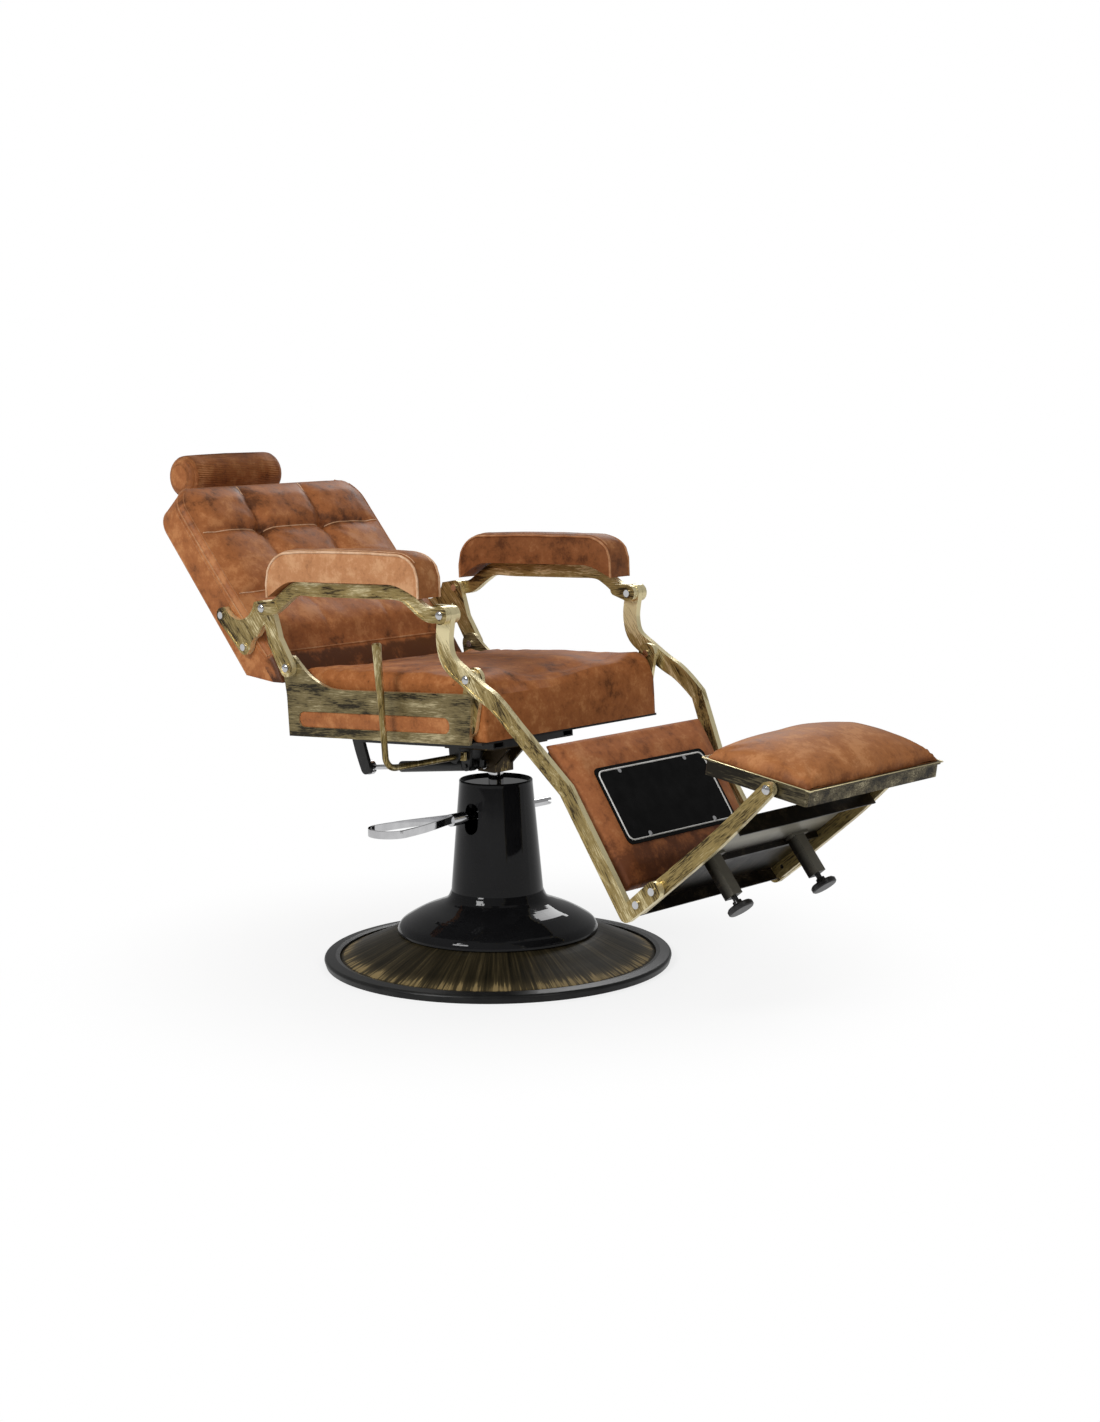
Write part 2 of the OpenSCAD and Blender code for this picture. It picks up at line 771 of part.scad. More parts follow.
module front_ear()
    color("#302c28")
        difference() {
            union() {
                on_seat()
                    slab(ear_in, ear_t)
                        bar([pivot_front - 26, board_t + front_ear_r + 6], front_ear_r + 3,
                            [pivot_front, pivot_front_h], front_ear_r);
                pin(pivot_d, ear_in + ear_t - 1, panel_out, 2 * front_ear_r - 6);
            }
            pin(pivot_d, ear_in - 1, panel_out + 1, bolt_d + 2 * seat_gap);
            on_seat()
                slab(panel_in - seat_gap, panel_t + 1)
                    polygon(panel_line);
        }

cushion_y = ear_in - soft_gap;
seat_edge_r = 34;

// Height of the seat cushion's top at u along it and v across it
function seat_top(u, v) =
    let(x = u * (cushion_rear + cushion_front), y = v * 2 * cushion_y,
        dx = min(x, cushion_rear + cushion_front - x), dy = min(y, 2 * cushion_y - y),
        front = cushion_rear + cushion_front - x)
    cushion_h - edge_drop(front, seat_edge_r) - edge_drop(x, 18) - edge_drop(dy, 14)
        + cushion_crown * sin(180 * u) * (1 - pow(2 * v - 1, 4));

// Grid steps drawn together towards both ends, where the edges are round
function eased(t) = t - 0.115 * sin(360 * t);

module seat_cushion()
    color("sienna")
        on_seat()
            skin(18, 16,
                function(u, v) [-cushion_rear + eased(u) * (cushion_rear + cushion_front),
                    (2 * eased(v) - 1) * cushion_y, seat_top(eased(u), eased(v))],
                function(u, v) let(x = -cushion_rear + eased(u) * (cushion_rear + cushion_front))
                    [x, (2 * eased(v) - 1) * cushion_y,
                        (x > cushion_front - lip_l + 9 ? tongue_t : board_t) + soft_gap]);

module seat_bolts()
    color("silver")
        both() {
            pivot_bolt(pivot_a, panel_in, link_out);
            pivot_bolt(pivot_d, ear_in, link_out);
        }

// ---- recline gear --------------------------------------------------------

hanger_t = 6;
front_pin = [-strut_front, strut_front_z];
rear_pin = [-strut_rear, strut_rear_z];
lever_pin = [-lever_x, lever_z];
strut_dir = (rear_pin - front_pin) / norm(rear_pin - front_pin);
strut_l = norm(rear_pin - front_pin);

// A lug down to p from h below the seat frame's top, drilled for a pin of diameter d
module lug(p, y, d, h)
    difference() {
        slab(y, hanger_t)
            bar([p[0], seat_z - h], 14, p, d / 2 + 6);
        pin(p, y - 1, y + hanger_t + 1, d + 2 * pin_gap);
        on_seat()
            slab(y - 1, hanger_t + 2)
                translate([-panel_rear, -h - seat_gap])
                    square([2 * panel_rear, panel_h]);
    }

module strut_hanger()
    color("#202020") {
        for (s = [-1, 1])
            lug(front_pin, -strut_y + s * 14 - hanger_t / 2, strut_pin_d, rail_h + flange_t);
        pin(front_pin, -strut_y - 20, -strut_y + 20, strut_pin_d);
    }

module lever_hanger()
    color("#202020")
        lug(lever_pin, -rail_y - hanger_t / 2, lever_d, rail_h);

strut_tube = 176;
strut_cap = 14;

// The strut is drawn along +X from its front pin and then turned into place
module on_strut()
    translate([front_pin[0], -strut_y, front_pin[1]])
        rotate([0, -atan2(strut_dir[1], strut_dir[0]), 0])
            children();

module strut_cylinder()
    color("#181818")
        difference() {
            union() {
                on_strut()
                    translate([18, 0, 0])
                        rotate([0, 90, 0])
                            cylinder(d = strut_d, h = strut_tube);
                on_strut()
                    translate([0, -5, -7])
                        cube([22, 10, 14]);
                pin(front_pin, -strut_y - 5, -strut_y + 5, strut_pin_d + 14);
            }
            pin(front_pin, -strut_y - 6, -strut_y + 6, strut_pin_d + 2 * pin_gap);
            on_strut()
                translate([18 + strut_cap, 0, 0])
                    rotate([0, 90, 0])
                        cylinder(d = strut_d - 6, h = strut_tube - 2 * strut_cap);
            on_strut()
                translate([18 + strut_tube - strut_cap - 1, 0, 0])
                    rotate([0, 90, 0])
                        cylinder(d = strut_rod_d + 2 * pin_gap, h = strut_cap + 2);
        }

strut_stroke = 112;
eye_d = strut_pin_d + 2 * eye_gap;

module strut_rod()
    color("silver")
        difference() {
            union() {
                on_strut()
                    translate([18 + strut_tube - strut_cap - strut_stroke - 12, 0, 0])
                        rotate([0, 90, 0])
                            cylinder(d = strut_rod_d,
                                h = strut_l - 18 - strut_tube + strut_cap + strut_stroke + 12 - eye_d / 2 - 2);
                pin(rear_pin, -strut_y - 5, -strut_y + 5, eye_d + 12);
            }
            pin(rear_pin, -strut_y - 6, -strut_y + 6, eye_d);
        }

lever_inner = strut_y + 20;
bend_r = 26;

// The release rod: across under the seat, round the bend and up outside the panel
module release_lever()
    color("darkgoldenrod") {
        pin(lever_pin, -lever_side + bend_r, -lever_inner, lever_d);
        translate([lever_pin[0], -lever_side + bend_r, lever_pin[1] + bend_r])
            rotate([90, 0, 90])
                rotate(180)
                    rotate_extrude(angle = 90)
                        translate([bend_r, 0])
                            circle(d = lever_d);
        translate([lever_pin[0], -lever_side, lever_pin[1] + bend_r])
            rotate([0, -lever_tilt, 0])
                cylinder(d = lever_d, h = lever_top - lever_z - bend_r - grip_l);
        translate([lever_pin[0] - 7, -lever_inner - 8, lever_pin[1] - 9])
            cube([14, 8, 16]);
    }

module lever_grip()
    color("darkgoldenrod")
        translate([lever_pin[0], -lever_side, lever_pin[1] + bend_r])
            rotate([0, -lever_tilt, 0])
                translate([0, 0, lever_top - lever_z - bend_r - grip_l]) {
                    cylinder(d1 = lever_d + 1, d2 = grip_d, h = grip_l - 3);
                    translate([0, 0, grip_l - 3])
                        cylinder(d1 = grip_d, d2 = grip_d - 5, h = 3);
                }

// ---- back ----------------------------------------------------------------

back_y = back_w / 2;
low_front = [-back_rear + 75, -8];
low_seam = [-back_rear + 85, 56];
seam_bow = 12;
shell_x = -back_rear + shell_t;

// The side seam's distance from the rear pivot, at the height v on the back
function seam_at(v) =
    let(t = max(0, min(1, (v - low_seam[1]) / (back_top - low_seam[1]))))
    low_seam[0] - seam_bow + seam_bow * pow(1 - t, 3);

// Half the back's width at the height v, drawn in at the rounded top corners
function half_at(v) =
    back_y - edge_drop(back_top - v, back_r);

back_outline = mirrored(concat([[back_y - 8, 0], [back_y, 8]], arc([back_y - back_r, back_top - back_r], back_r, 0, 90, 8)));

module back_shell()
    color("saddlebrown")
        difference() {
            on_back()
                intersection() {
                    translate([-back_rear, 0, 0])
                        rotate([90, 0, 90])
                            linear_extrude(shell_t)
                                polygon(back_outline);
                    slab(-back_y, back_w)
                        polygon([[-back_rear, 67], [shell_x, 67 - shell_t * 71 / 67], [shell_x, back_top],
                            [-back_rear, back_top]]);
                }
            both()
                for (p = [lobe_a, lobe_b])
                    pin(p, back_y - 30, back_y + 1, screw_d + 2 * seat_gap);
        }

// Rows of squares in the cushion's skin
back_n = 24;

// One square of the quilting: 0 on its stitched edges and 1 in its middle
function puff(t) = 1 - pow(abs(2 * (t - floor(t)) - 1), 2.6);

// Depth of the stitching at y across and v up the back
function quilt(y, v) =
    let(a = y / (back_w / 3) + 1.5, b = (v - tuft_row) / tuft_pitch + 4)
    min(puff(a), 1) * min(puff(b), 1);

// The cushion's front face, with t from its foot to its top and s across it
function back_front(t, s) =
    let(v = low_seam[1] + t * (back_top - low_seam[1]), h = half_at(v), y = (2 * s - 1) * h,
        side = min(1, (h - abs(y)) / 40), end = min(1, min(t, 1 - t) * 9),
        fall = max(edge_drop(h - abs(y), 12), edge_drop((1 - t) * (back_top - low_seam[1]), 22)))
    [seam_at(v) - fall + side * end * (tuft_rise + tuft_dip) * quilt(y, v) - side * end * tuft_dip, y, v];

// The cushion's rear face against the shell, with its lowest edge drawn forward
function back_behind(t, s) =
    let(v = low_seam[1] + t * (back_top - low_seam[1]), y = (2 * s - 1) * half_at(v),
        low = 67 - (shell_t + soft_gap) * 71 / 67, first = 1 / back_n)
    t == 0 ? [low_front[0], y, low_front[1]]
        : [shell_x + soft_gap, y, low + (t - first) / (1 - first) * (back_top - low)];

module back_cushion()
    color("sienna")
        on_back()
            skin(back_n, 20,
                function(t, s) back_front(t, s),
                function(t, s) back_behind(t, s));

lobe_p = [-81, 191];
lobe_q = [-71, 104];
lobe_a = in_frame(pivot_a, back_lean, lobe_p);
lobe_b = in_frame(pivot_a, back_lean, lobe_q);
b_in_back = [lever * [cos(back_lean), sin(back_lean)], lever * [-sin(back_lean), cos(back_lean)]];
screw_d = 8;

// The cast bracket's outline in the back's frame, drawn in all round by the margin m
module bracket_outline(m)
    difference() {
        union() {
            bar(lobe_p, lobe_r - m, lobe_q, lobe_r - m);
            bar(lobe_p, lobe_r - m, b_in_back, lobe_r - m);
            bar(lobe_q, lobe_r - m, b_in_back, lobe_r - m);
            polygon([lobe_p, lobe_q, b_in_back]);
            bar([0, 0], 18 - m, strip_p, 17 - m);
            bar(strip_p, 17 - m, b_in_back, lobe_r - m);
        }
        translate([-14, 190])
            circle(r = 49 + m);
        translate([-38, 71])
            circle(r = 27.5 + m);
    }

strip_p = [8, 58];

module back_bracket()
    color("darkkhaki")
        difference() {
            on_back()
                slab(link_in, bar_t)
                    bracket_outline(0);
            on_back()
                slab(link_out - 1.5, 3)
                    difference() {
                        bracket_outline(4);
                        for (q = [lobe_p, lobe_q, [0, 0], b_in_back])
                            translate(q)
                                circle(d = head_d + 3);
                    }
            pin(pivot_a, link_in - 1, link_out + 1, hole_d);
            pin(pivot_b, link_in - 1, link_out + 1, bolt_d + 2 * seat_gap);
            for (p = [lobe_a, lobe_b])
                pin(p, link_in - 1, link_out + 1, screw_d + 2 * seat_gap);
        }

module back_screws()
    color("silver")
        both()
            for (p = [lobe_a, lobe_b]) {
                pin(p, back_y - 26, link_out + 1, screw_d);
                pin(p, link_out, link_out + 4, head_d - 3);
            }

module arm_bolts()
    color("silver")
        both()
            pivot_bolt(pivot_b, link_in, arm_out);

// The crank hangs from the shell's underside and takes the strut's rear pin
crank_t = 8;
crank_y = -strut_y - 5 - side_gap - crank_t;
crank_foot = in_frame(pivot_a, back_lean, [-back_rear + 18, 48]);
crank_line = spline([crank_foot - [0, 8], (crank_foot + rear_pin) / 2 + [4, 30], rear_pin + [-14, 34], rear_pin], 6);

module recline_crank()
    color("#202020")
        difference() {
            union() {
                slab(crank_y, crank_t)
                    ribbon(crank_line, 16, 13);
                slab(crank_y, crank_t)
                    translate(rear_pin)
                        circle(r = 13);
                pin(rear_pin, crank_y + crank_t - 1, -strut_y + 9, strut_pin_d);
                pin(rear_pin, -strut_y + 5 + side_gap, -strut_y + 9, strut_pin_d + 12);
                translate([0, crank_y - 14, 0])
                    on_back()
                        translate([-back_rear + 2, 0, 67 - 4 - 1])
                            rotate([0, atan2(71, 67), 0])
                                translate([0, 0, -6])
                                    cube([46, 42, 5.6]);
            }
            on_back()
                slab(-back_y, back_w)
                    polygon([[-back_rear - 20, 67 + 20 * 71 / 67 - 0.4], [shell_x + 40, 67 - (shell_t + 40) * 71 / 67 - 0.4],
                        [shell_x + 40, 200], [-back_rear - 20, 200]]);
        }

// ---- headrest ------------------------------------------------------------

post_x = -back_rear - post_t - 3;
sleeve_t = 2.5;
sleeve_l = 150;
sleeve_top = back_top - 6;

module headrest_sleeve()
    color("#202020")
        on_back()
            difference() {
                union() {
                    translate([post_x - sleeve_t, -post_w / 2 - sleeve_t - 0.1, sleeve_top - sleeve_l])
                        cube([post_t + 2 * sleeve_t, post_w + 2 * sleeve_t + 0.2, sleeve_l]);
                    for (z = [0, sleeve_l - 24])
                        translate([-back_rear - 3 + sleeve_t - 2.3, -post_w / 2 - 22, sleeve_top - sleeve_l + z])
                            cube([2.6, post_w + 44, 24]);
                }
                translate([post_x - 0.1, -post_w / 2 - 0.1, sleeve_top - sleeve_l - 1])
                    cube([post_t + 0.2, post_w + 0.2, sleeve_l + 2]);
                translate([-back_rear - 0.2, -back_y, 0])
                    cube([40, back_w, back_top + 10]);
            }

module headrest_post()
    color("silver")
        on_back()
            translate([post_x, -post_w / 2, sleeve_top - sleeve_l + 12])
                cube([post_t, post_w, roll_up - roll_d / 2 + 30 - (sleeve_top - sleeve_l + 12)]);

module headrest_roll()
    color("sienna")
        on_back()
            difference() {
                translate([-roll_back, 0, roll_up])
                    rotate([90, 0, 0])
                        rotate_extrude()
                            polygon(concat([[0, -roll_l / 2]],
                                arc([roll_d / 2 - 22, -roll_l / 2 + 22], 22, -90, 0, 6),
                                [[roll_d / 2 + 1, 0]],
                                arc([roll_d / 2 - 22, roll_l / 2 - 22], 22, 0, 90, 6), [[0, roll_l / 2]]));
                translate([post_x - soft_gap, -post_w / 2 - soft_gap, roll_up - roll_d])
                    cube([post_t + 2 * soft_gap, post_w + 2 * soft_gap, roll_d / 2 + 30 + soft_gap]);
            }

// ---- arms ----------------------------------------------------------------

bar_x = [105, span_l - 105];
bar_line = spline([[0, 0], [34, 3], [74, bar_rise - 12], [bar_x[0], bar_rise + 1], [bar_x[0] + 60, bar_rise],
    [bar_x[1] - 60, bar_rise], [bar_x[1], bar_rise - 1], [span_l - 78, bar_rise - 12], [span_l - 50, 8],
    [span_l - 26, -1], [span_l, 0]], 5);
fork_r = 17;

module arm_bar()
    color("darkkhaki")
        difference() {
            union() {
                on_arm() {
                    slab(arm_in, bar_t) {
                        ribbon(bar_line, bar_half + 3, bar_half + 3);
                        translate([span_l, 0])
                            circle(r = fork_r);
                        circle(r = 15);
                    }
                    slab(panel_out - bar_t, bar_t)
                        bar([span_l - 34, 6], 11, [span_l, 0], fork_r - 1);
                    slab(panel_out - 1, arm_in - panel_out + 2)
                        translate([span_l - 46, 0])
                            square([19, 13]);
                }
            }
            on_arm()
                slab(arm_out - 1.5, 3)
                    ribbon(trim_line, bar_half - 1.5, bar_half - 1.5);
            pin(pivot_b, arm_in - 1, arm_out + 1, hole_d);
            pin(pivot_c, panel_out - bar_t - 1, arm_out + 1, hole_d);
        }

trim_line = [for (i = [6:len(bar_line) - 8]) bar_line[i]];

pad_out = arm_out + 14;
pad_rear = 33;
pad_front = span_l - 40;

// Height of the arm bar's top edge at the distance x along the arm
function bar_top(x) =
    let(rear = max(0, 1 - max(0, x - pad_rear) / (bar_x[0] - pad_rear + 4)),
        front = max(0, 1 - max(0, pad_front - x) / (pad_front - bar_x[1] + 4)))
    bar_rise + bar_half + 5.2 - 31 * (1 - pow(cos(90 * rear), 1.1)) - 24 * (1 - pow(cos(90 * front), 1.1));

// Height of the pad's top edge at the distance x, with both ends rounded
function pad_top(x) =
    pad_h - 58 / 62 * edge_drop(x - pad_rear, 62) - 74 / 70 * edge_drop(pad_front - x, 70)
        + 4 * sin(180 * (x - pad_rear) / (pad_front - pad_rear));

module arm_pad()
    color("peru")
        on_arm()
            skin(26, 6,
                function(u, v) let(x = pad_rear + eased(u) * (pad_front - pad_rear))
                    [x, pad_out - pad_w + eased(v) * pad_w,
                        max(pad_top(x) + pad_crown * (1 - pow(2 * v - 1, 4)) - pad_crown
                            - edge_drop(min(v, 1 - v) * pad_w, 8), bar_top(x) + 14)],
                function(u, v) let(x = pad_rear + eased(u) * (pad_front - pad_rear))
                    [x, pad_out - pad_w + eased(v) * pad_w, bar_top(x)]);

// ---- leg rest ------------------------------------------------------------

function leg_pt(q) = in_frame(pivot_d, leg_lean, q);

lever_in_leg = [lever * [cos(leg_lean), sin(leg_lean)], lever * [-sin(leg_lean), cos(leg_lean)]];
leg_out = leg_w / 2;
leg_in = leg_out - bar_t;
joggle_top = [leg_x - 5, -122];
joggle_low = [leg_x, -262];
upper_line = spline([lever_in_leg, [-9, 88], [-21, 50], [-3, 6], [15, -32], [31, -60], [42, -90], joggle_top], 5);
joggle_v = joggle_low - joggle_top;
joggle_in = link_in - leg_in;
joggle_l = sqrt(joggle_v * joggle_v + joggle_in * joggle_in);
ear_l = 80;

// The cast front link: curved head, leg drawn inwards, and an ear for the foot bar
module front_link()
    color("darkkhaki")
        difference() {
            union() {
                on_leg() {
                    slab(link_in, bar_t) {
                        ribbon(upper_line, 17, leg_half);
                        translate(lever_in_leg)
                            circle(r = fork_r);
                    }
                    slab(leg_in, bar_t)
                        ribbon([joggle_low, [leg_x, -leg_l]], leg_half, leg_half);
                    translate([joggle_top[0], link_in + bar_t / 2, joggle_top[1]])
                        rotate([0, -atan2(joggle_v[1], joggle_v[0]), 0])
                            rotate([0, 0, -atan2(joggle_in, norm(joggle_v))]) {
                                translate([0, -bar_t / 2, -leg_half])
                                    cube([joggle_l, bar_t, 2 * leg_half]);
                                for (x = [0, joggle_l])
                                    translate([x, 0, -leg_half])
                                        cylinder(d = bar_t, h = 2 * leg_half);
                            }
                }
                slab(leg_in, bar_t)
                    bar(leg_corner, leg_half, in_frame(leg_corner, foot_rise, [ear_l, 0]), 16.5);
            }
            on_leg() {
                slab(link_out - 1.5, 3)
                    ribbon([for (i = [6:22]) upper_line[i]], 11, 11);
                slab(link_out - 1.5, 3)
                    ribbon([for (i = [27:len(upper_line) - 1]) upper_line[i]], 11, leg_half - 4);
                slab(leg_out - 1.5, 3)
                    ribbon([joggle_low - [0, 8], [leg_x, -leg_l + 8]], leg_half - 4, leg_half - 4);
            }
            pin(pivot_d, link_in - 1, link_out + 1, hole_d);
            pin(pivot_c, link_in - 1, link_out + 1, bolt_d + 2 * seat_gap);
            for (s = ear_screw_s)
                pin(in_frame(leg_corner, foot_rise, [s, 0]), leg_in - 1, leg_out + 1, screw_d + 2 * seat_gap);
        }

ear_screw_s = [34, 79];

module link_bolts()
    color("silver")
        both()
            pivot_bolt(pivot_c, panel_out - bar_t, arm_out);

calf_back = leg_x - leg_half + 5;
crossbar_t = 10;
crossbar_h = 26;

module leg_crossbars()
    color("#202020")
        on_leg()
            for (z = [calf_top + 120, calf_top + calf_l - 40])
                translate([calf_back - crossbar_t, -leg_in, -z - crossbar_h / 2])
                    cube([crossbar_t, 2 * leg_in, crossbar_h]);

// Half the calf pad's width at t from its foot to its top
function calf_half(t) = calf_w_low / 2 + t * (calf_w - calf_w_low) / 2;

module calf_board()
    color("#181818")
        on_leg()
            translate([calf_back, 0, -calf_top - calf_l])
                rotate([90, 0, 90])
                    linear_extrude(calf_board_t)
                        polygon(mirrored([[calf_half(0) - 12, 4], [calf_half(0) - 6, 10],
                            [calf_half(1) - 6, calf_l - 10], [calf_half(1) - 12, calf_l - 4]]));

calf_face = calf_back + calf_board_t + soft_gap;

// The flat middle of the calf pad, where the blank plate lies
function calf_bulge(t, s) =
    let(h = calf_half(t), dy = min(s, 1 - s) * 2 * h, dz = min(t, 1 - t) * calf_l)
    calf_edge_t + calf_crown * min(1, dy / 42) * min(1, dz / 48) - edge_drop(min(dy, dz), 10);

module calf_pad()
    color("sienna")
        on_leg()
            skin(14, 16,
                function(t, s) let(a = eased(t), b = eased(s))
                    [calf_face + calf_bulge(a, b), (2 * b - 1) * calf_half(a), -calf_top - calf_l + a * calf_l],
                function(t, s) let(a = eased(t), b = eased(s))
                    [calf_face, (2 * b - 1) * calf_half(a), -calf_top - calf_l + a * calf_l]);

tag_x = calf_face + calf_edge_t + calf_crown + soft_gap;
tag_screws = [[-1, -1], [-1, 1], [1, -1], [1, 1]];

module blank_plate()
    color("black")
        on_leg()
            translate([tag_x, 0, -calf_top - tag_drop - tag_h / 2])
                difference() {
                    rotate([90, 0, 90])
                        linear_extrude(tag_t)
                            rounded(tag_w, tag_h, 12);
                    for (q = tag_screws)
                        translate([-1, q[0] * (tag_w / 2 - 62), q[1] * (tag_h / 2 - 13)])
                            rotate([0, 90, 0])
                                cylinder(d = 6.4, h = 4);
                }

module plate_screws()
    color("silver")
        on_leg()
            translate([tag_x, 0, -calf_top - tag_drop - tag_h / 2])
                for (q = tag_screws)
                    translate([0, q[0] * (tag_w / 2 - 62), q[1] * (tag_h / 2 - 13)])
                        rotate([0, 90, 0]) {
                            cylinder(d = 6, h = tag_t + 1);
                            translate([0, 0, tag_t])
                                cylinder(d = 9, h = 2);
                        }

module ear_screws()
    color("silver")
        both()
            for (s = ear_screw_s) {
                pin(in_frame(leg_corner, foot_rise, [s, 0]), foot_in, leg_out + 1, screw_d);
                pin(in_frame(leg_corner, foot_rise, [s, 0]), leg_out, leg_out + 4, head_d - 3);
            }

// ---- footrest ------------------------------------------------------------

foot_in = leg_in - bar_t;

module foot_bar()
    color("darkgoldenrod")
        difference() {
            on_foot()
                slab(foot_in, bar_t)
                    strap(spline([[24, 0], [foot_l * 0.55, 0], [foot_l * 0.7, 1.5], [foot_l, foot_kick]], 3),
                        foot_half, foot_half - 2);
            pin(foot_pivot, foot_in - 1, leg_in + 1, hole_d);
            for (s = ear_screw_s)
                pin(in_frame(leg_corner, foot_rise, [s, 0]), foot_in - 1, leg_in + 1, screw_d + 2 * seat_gap);
        }

step_top = foot_half;
step_y = foot_in - seat_gap;
step_rear = 10;
rib_l = 126;
step_rib = step_rear + rib_l;
step_line = [[step_rear, -12], [step_rear, step_top - step_t], [step_rib - 7, step_top - step_t],
    [step_rib - 3, 2], [step_rib + 3, 2], [step_rib + 7, step_top - step_t],
    [step_rear + step_l, step_top - step_t], [step_rear + step_l, -18]];
stem_s = step_rib + 14;
stem_top = step_top - step_t;
thread_d = 10;
disc_t = 11;
disc_gap = 17;

// The bent foot plate with its flanges and the two glide stems
module foot_plate()
    color("#3a3026")
        on_foot()
            difference() {
                union() {
                    slab(-step_y, 2 * step_y)
                        ribbon(step_line, step_t / 2, step_t / 2);
                    both()
                        translate([stem_s, glide_y, 0]) {
                            translate([-stem_w / 2, -stem_w / 2, stem_top - stem_l])
                                cube([stem_w, stem_w, stem_l]);
                            translate([-stem_w / 2 - 2, -stem_w, stem_top - 6])
                                cube([stem_w + 4, 2 * stem_w, 6]);
                        }
                }
                both()
                    translate([stem_s, glide_y, stem_top - stem_l - 1])
                        cylinder(d = thread_d + 2 * pin_gap, h = stem_l - 8);
            }

// A glide's screw runs up into the stem, and its disc stands on the floor
module glide()
    color("#101010")
        on_foot()
            translate([stem_s, glide_y, stem_top - stem_l - disc_gap])
                rotate_extrude()
                    polygon([[0, -disc_t], [glide_d / 2 - 2, -disc_t], [glide_d / 2, 2 - disc_t], [glide_d / 2, -3],
                        [glide_d / 2 - 3, 0], [thread_d / 2 + 4, 2], [thread_d / 2 + 3, 8], [thread_d / 2, 8],
                        [thread_d / 2, disc_gap + stem_l - 24], [0, disc_gap + stem_l - 24]]);

tray_y = tray_w / 2;
tray_low = tray_rim - tray_h;
rim_over = 7;

module footrest_tray()
    color("#4a4334")
        difference() {
            union() {
                on_tray() {
                    tray_block(0, tray_low, tray_rim, 0);
                    tray_block(rim_over, tray_rim - 3, tray_rim, foot_in - 0.5 - tray_y);
                }
            }
            on_tray()
                translate([-tray_rear + rim_over + tray_t, tray_t - tray_y, tray_low + tray_t])
                    cube([tray_rear + tray_front - 2 * (rim_over + tray_t), tray_w - 2 * tray_t, tray_h]);
            both()
                pin(foot_pivot, tray_y - tray_t - 1, tray_y + 1, bolt_d + 2 * seat_gap);
        }

// A block on the tray's plan, grown by m at its ends and n at its sides
module tray_block(m, z0, z1, n)
    translate([(tray_front - tray_rear) / 2, 0, z0])
        linear_extrude(z1 - z0)
            rounded(tray_rear + tray_front - 2 * rim_over + 2 * m, tray_w + 2 * n, 6 + m);

dome_x = tray_rear + tray_front - 2 * rim_over - 2 * tray_t - 2 * soft_gap;
dome_y = tray_w - 2 * tray_t - 2 * soft_gap;
dome_mid = (tray_front - tray_rear) / 2;

// The dome rises from a scalloped edge to its crown
function dome_top(u, v) =
    let(a = 4 * u * (1 - u), b = 4 * v * (1 - v))
    tray_rim + 2 + dome_h * pow(a, 0.62) * pow(b, 0.55) - 2 * (1 - min(1, 4 * min(u, 1 - u))) * cos(720 * v);

module footrest_dome()
    color("sienna")
        on_tray()
            skin(16, 16,
                function(u, v) [dome_mid + (eased(u) - 0.5) * dome_x, (eased(v) - 0.5) * dome_y,
                    dome_top(eased(u), eased(v))],
                function(u, v) [dome_mid + (eased(u) - 0.5) * dome_x, (eased(v) - 0.5) * dome_y,
                    tray_low + tray_t + soft_gap]);

module tray_screws()
    color("silver")
        both()
            pivot_bolt(foot_pivot, tray_y - tray_t, leg_in, 0);

// ---- nodes ---------------------------------------------------------------

base_plate();
base_dish();
base_ring();
pump_cover();
pump_cylinder();
pump_cap();
pedal_yoke();
pedal_loop();
piston_head();
piston_rod();
pump_socket();
socket_bolt();
seat_rails();
seat_crossbars();
seat_board();
side_panel();  // side_panel_left
right() side_panel();  // side_panel_right
side_strip();  // side_strip_left
right() side_strip();  // side_strip_right
front_ear();  // front_ear_left
right() front_ear();  // front_ear_right
seat_cushion();
seat_bolts();
lever_hanger();
strut_hanger();
release_lever();
lever_grip();
strut_cylinder();
strut_rod();
back_shell();
back_cushion();
back_bracket();  // back_bracket_left
right() back_bracket();  // back_bracket_right
back_screws();
arm_bolts();
recline_crank();
headrest_sleeve();
headrest_post();
headrest_roll();
arm_bar();  // arm_bar_left
right() arm_bar();  // arm_bar_right
arm_pad();  // arm_pad_left
right() arm_pad();  // arm_pad_right
front_link();  // front_link_left
right() front_link();  // front_link_right
link_bolts();
leg_crossbars();
calf_board();
calf_pad();
blank_plate();
plate_screws();
ear_screws();
foot_bar();  // foot_bar_left
right() foot_bar();  // foot_bar_right
foot_plate();
glide();  // glide_left
right() glide();  // glide_right
footrest_tray();
footrest_dome();
tray_screws();
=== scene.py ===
import math
import bpy
from mathutils import Matrix, Vector, noise


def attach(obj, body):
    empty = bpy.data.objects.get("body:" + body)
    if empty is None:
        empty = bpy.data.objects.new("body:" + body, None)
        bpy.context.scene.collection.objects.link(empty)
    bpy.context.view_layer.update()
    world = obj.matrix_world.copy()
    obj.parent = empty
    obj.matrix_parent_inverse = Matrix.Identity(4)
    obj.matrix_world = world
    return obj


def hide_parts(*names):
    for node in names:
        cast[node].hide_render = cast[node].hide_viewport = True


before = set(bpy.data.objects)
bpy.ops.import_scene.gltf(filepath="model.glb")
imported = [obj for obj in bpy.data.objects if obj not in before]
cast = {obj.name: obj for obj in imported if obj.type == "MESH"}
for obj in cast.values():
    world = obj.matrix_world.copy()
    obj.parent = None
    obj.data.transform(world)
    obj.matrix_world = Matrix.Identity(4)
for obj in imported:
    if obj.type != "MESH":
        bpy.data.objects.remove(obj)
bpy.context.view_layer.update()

# ---------------------------------------------------------------- camera
# The camera stands to the sitter's right of the leg rest, a little above the arms.
# It is placed by its bearing, its fall and its slight roll.
stand = (3.165, -3.266, 1.150)
bearing, fall, roll = math.radians(42.77), math.radians(8.31), math.radians(-0.60)
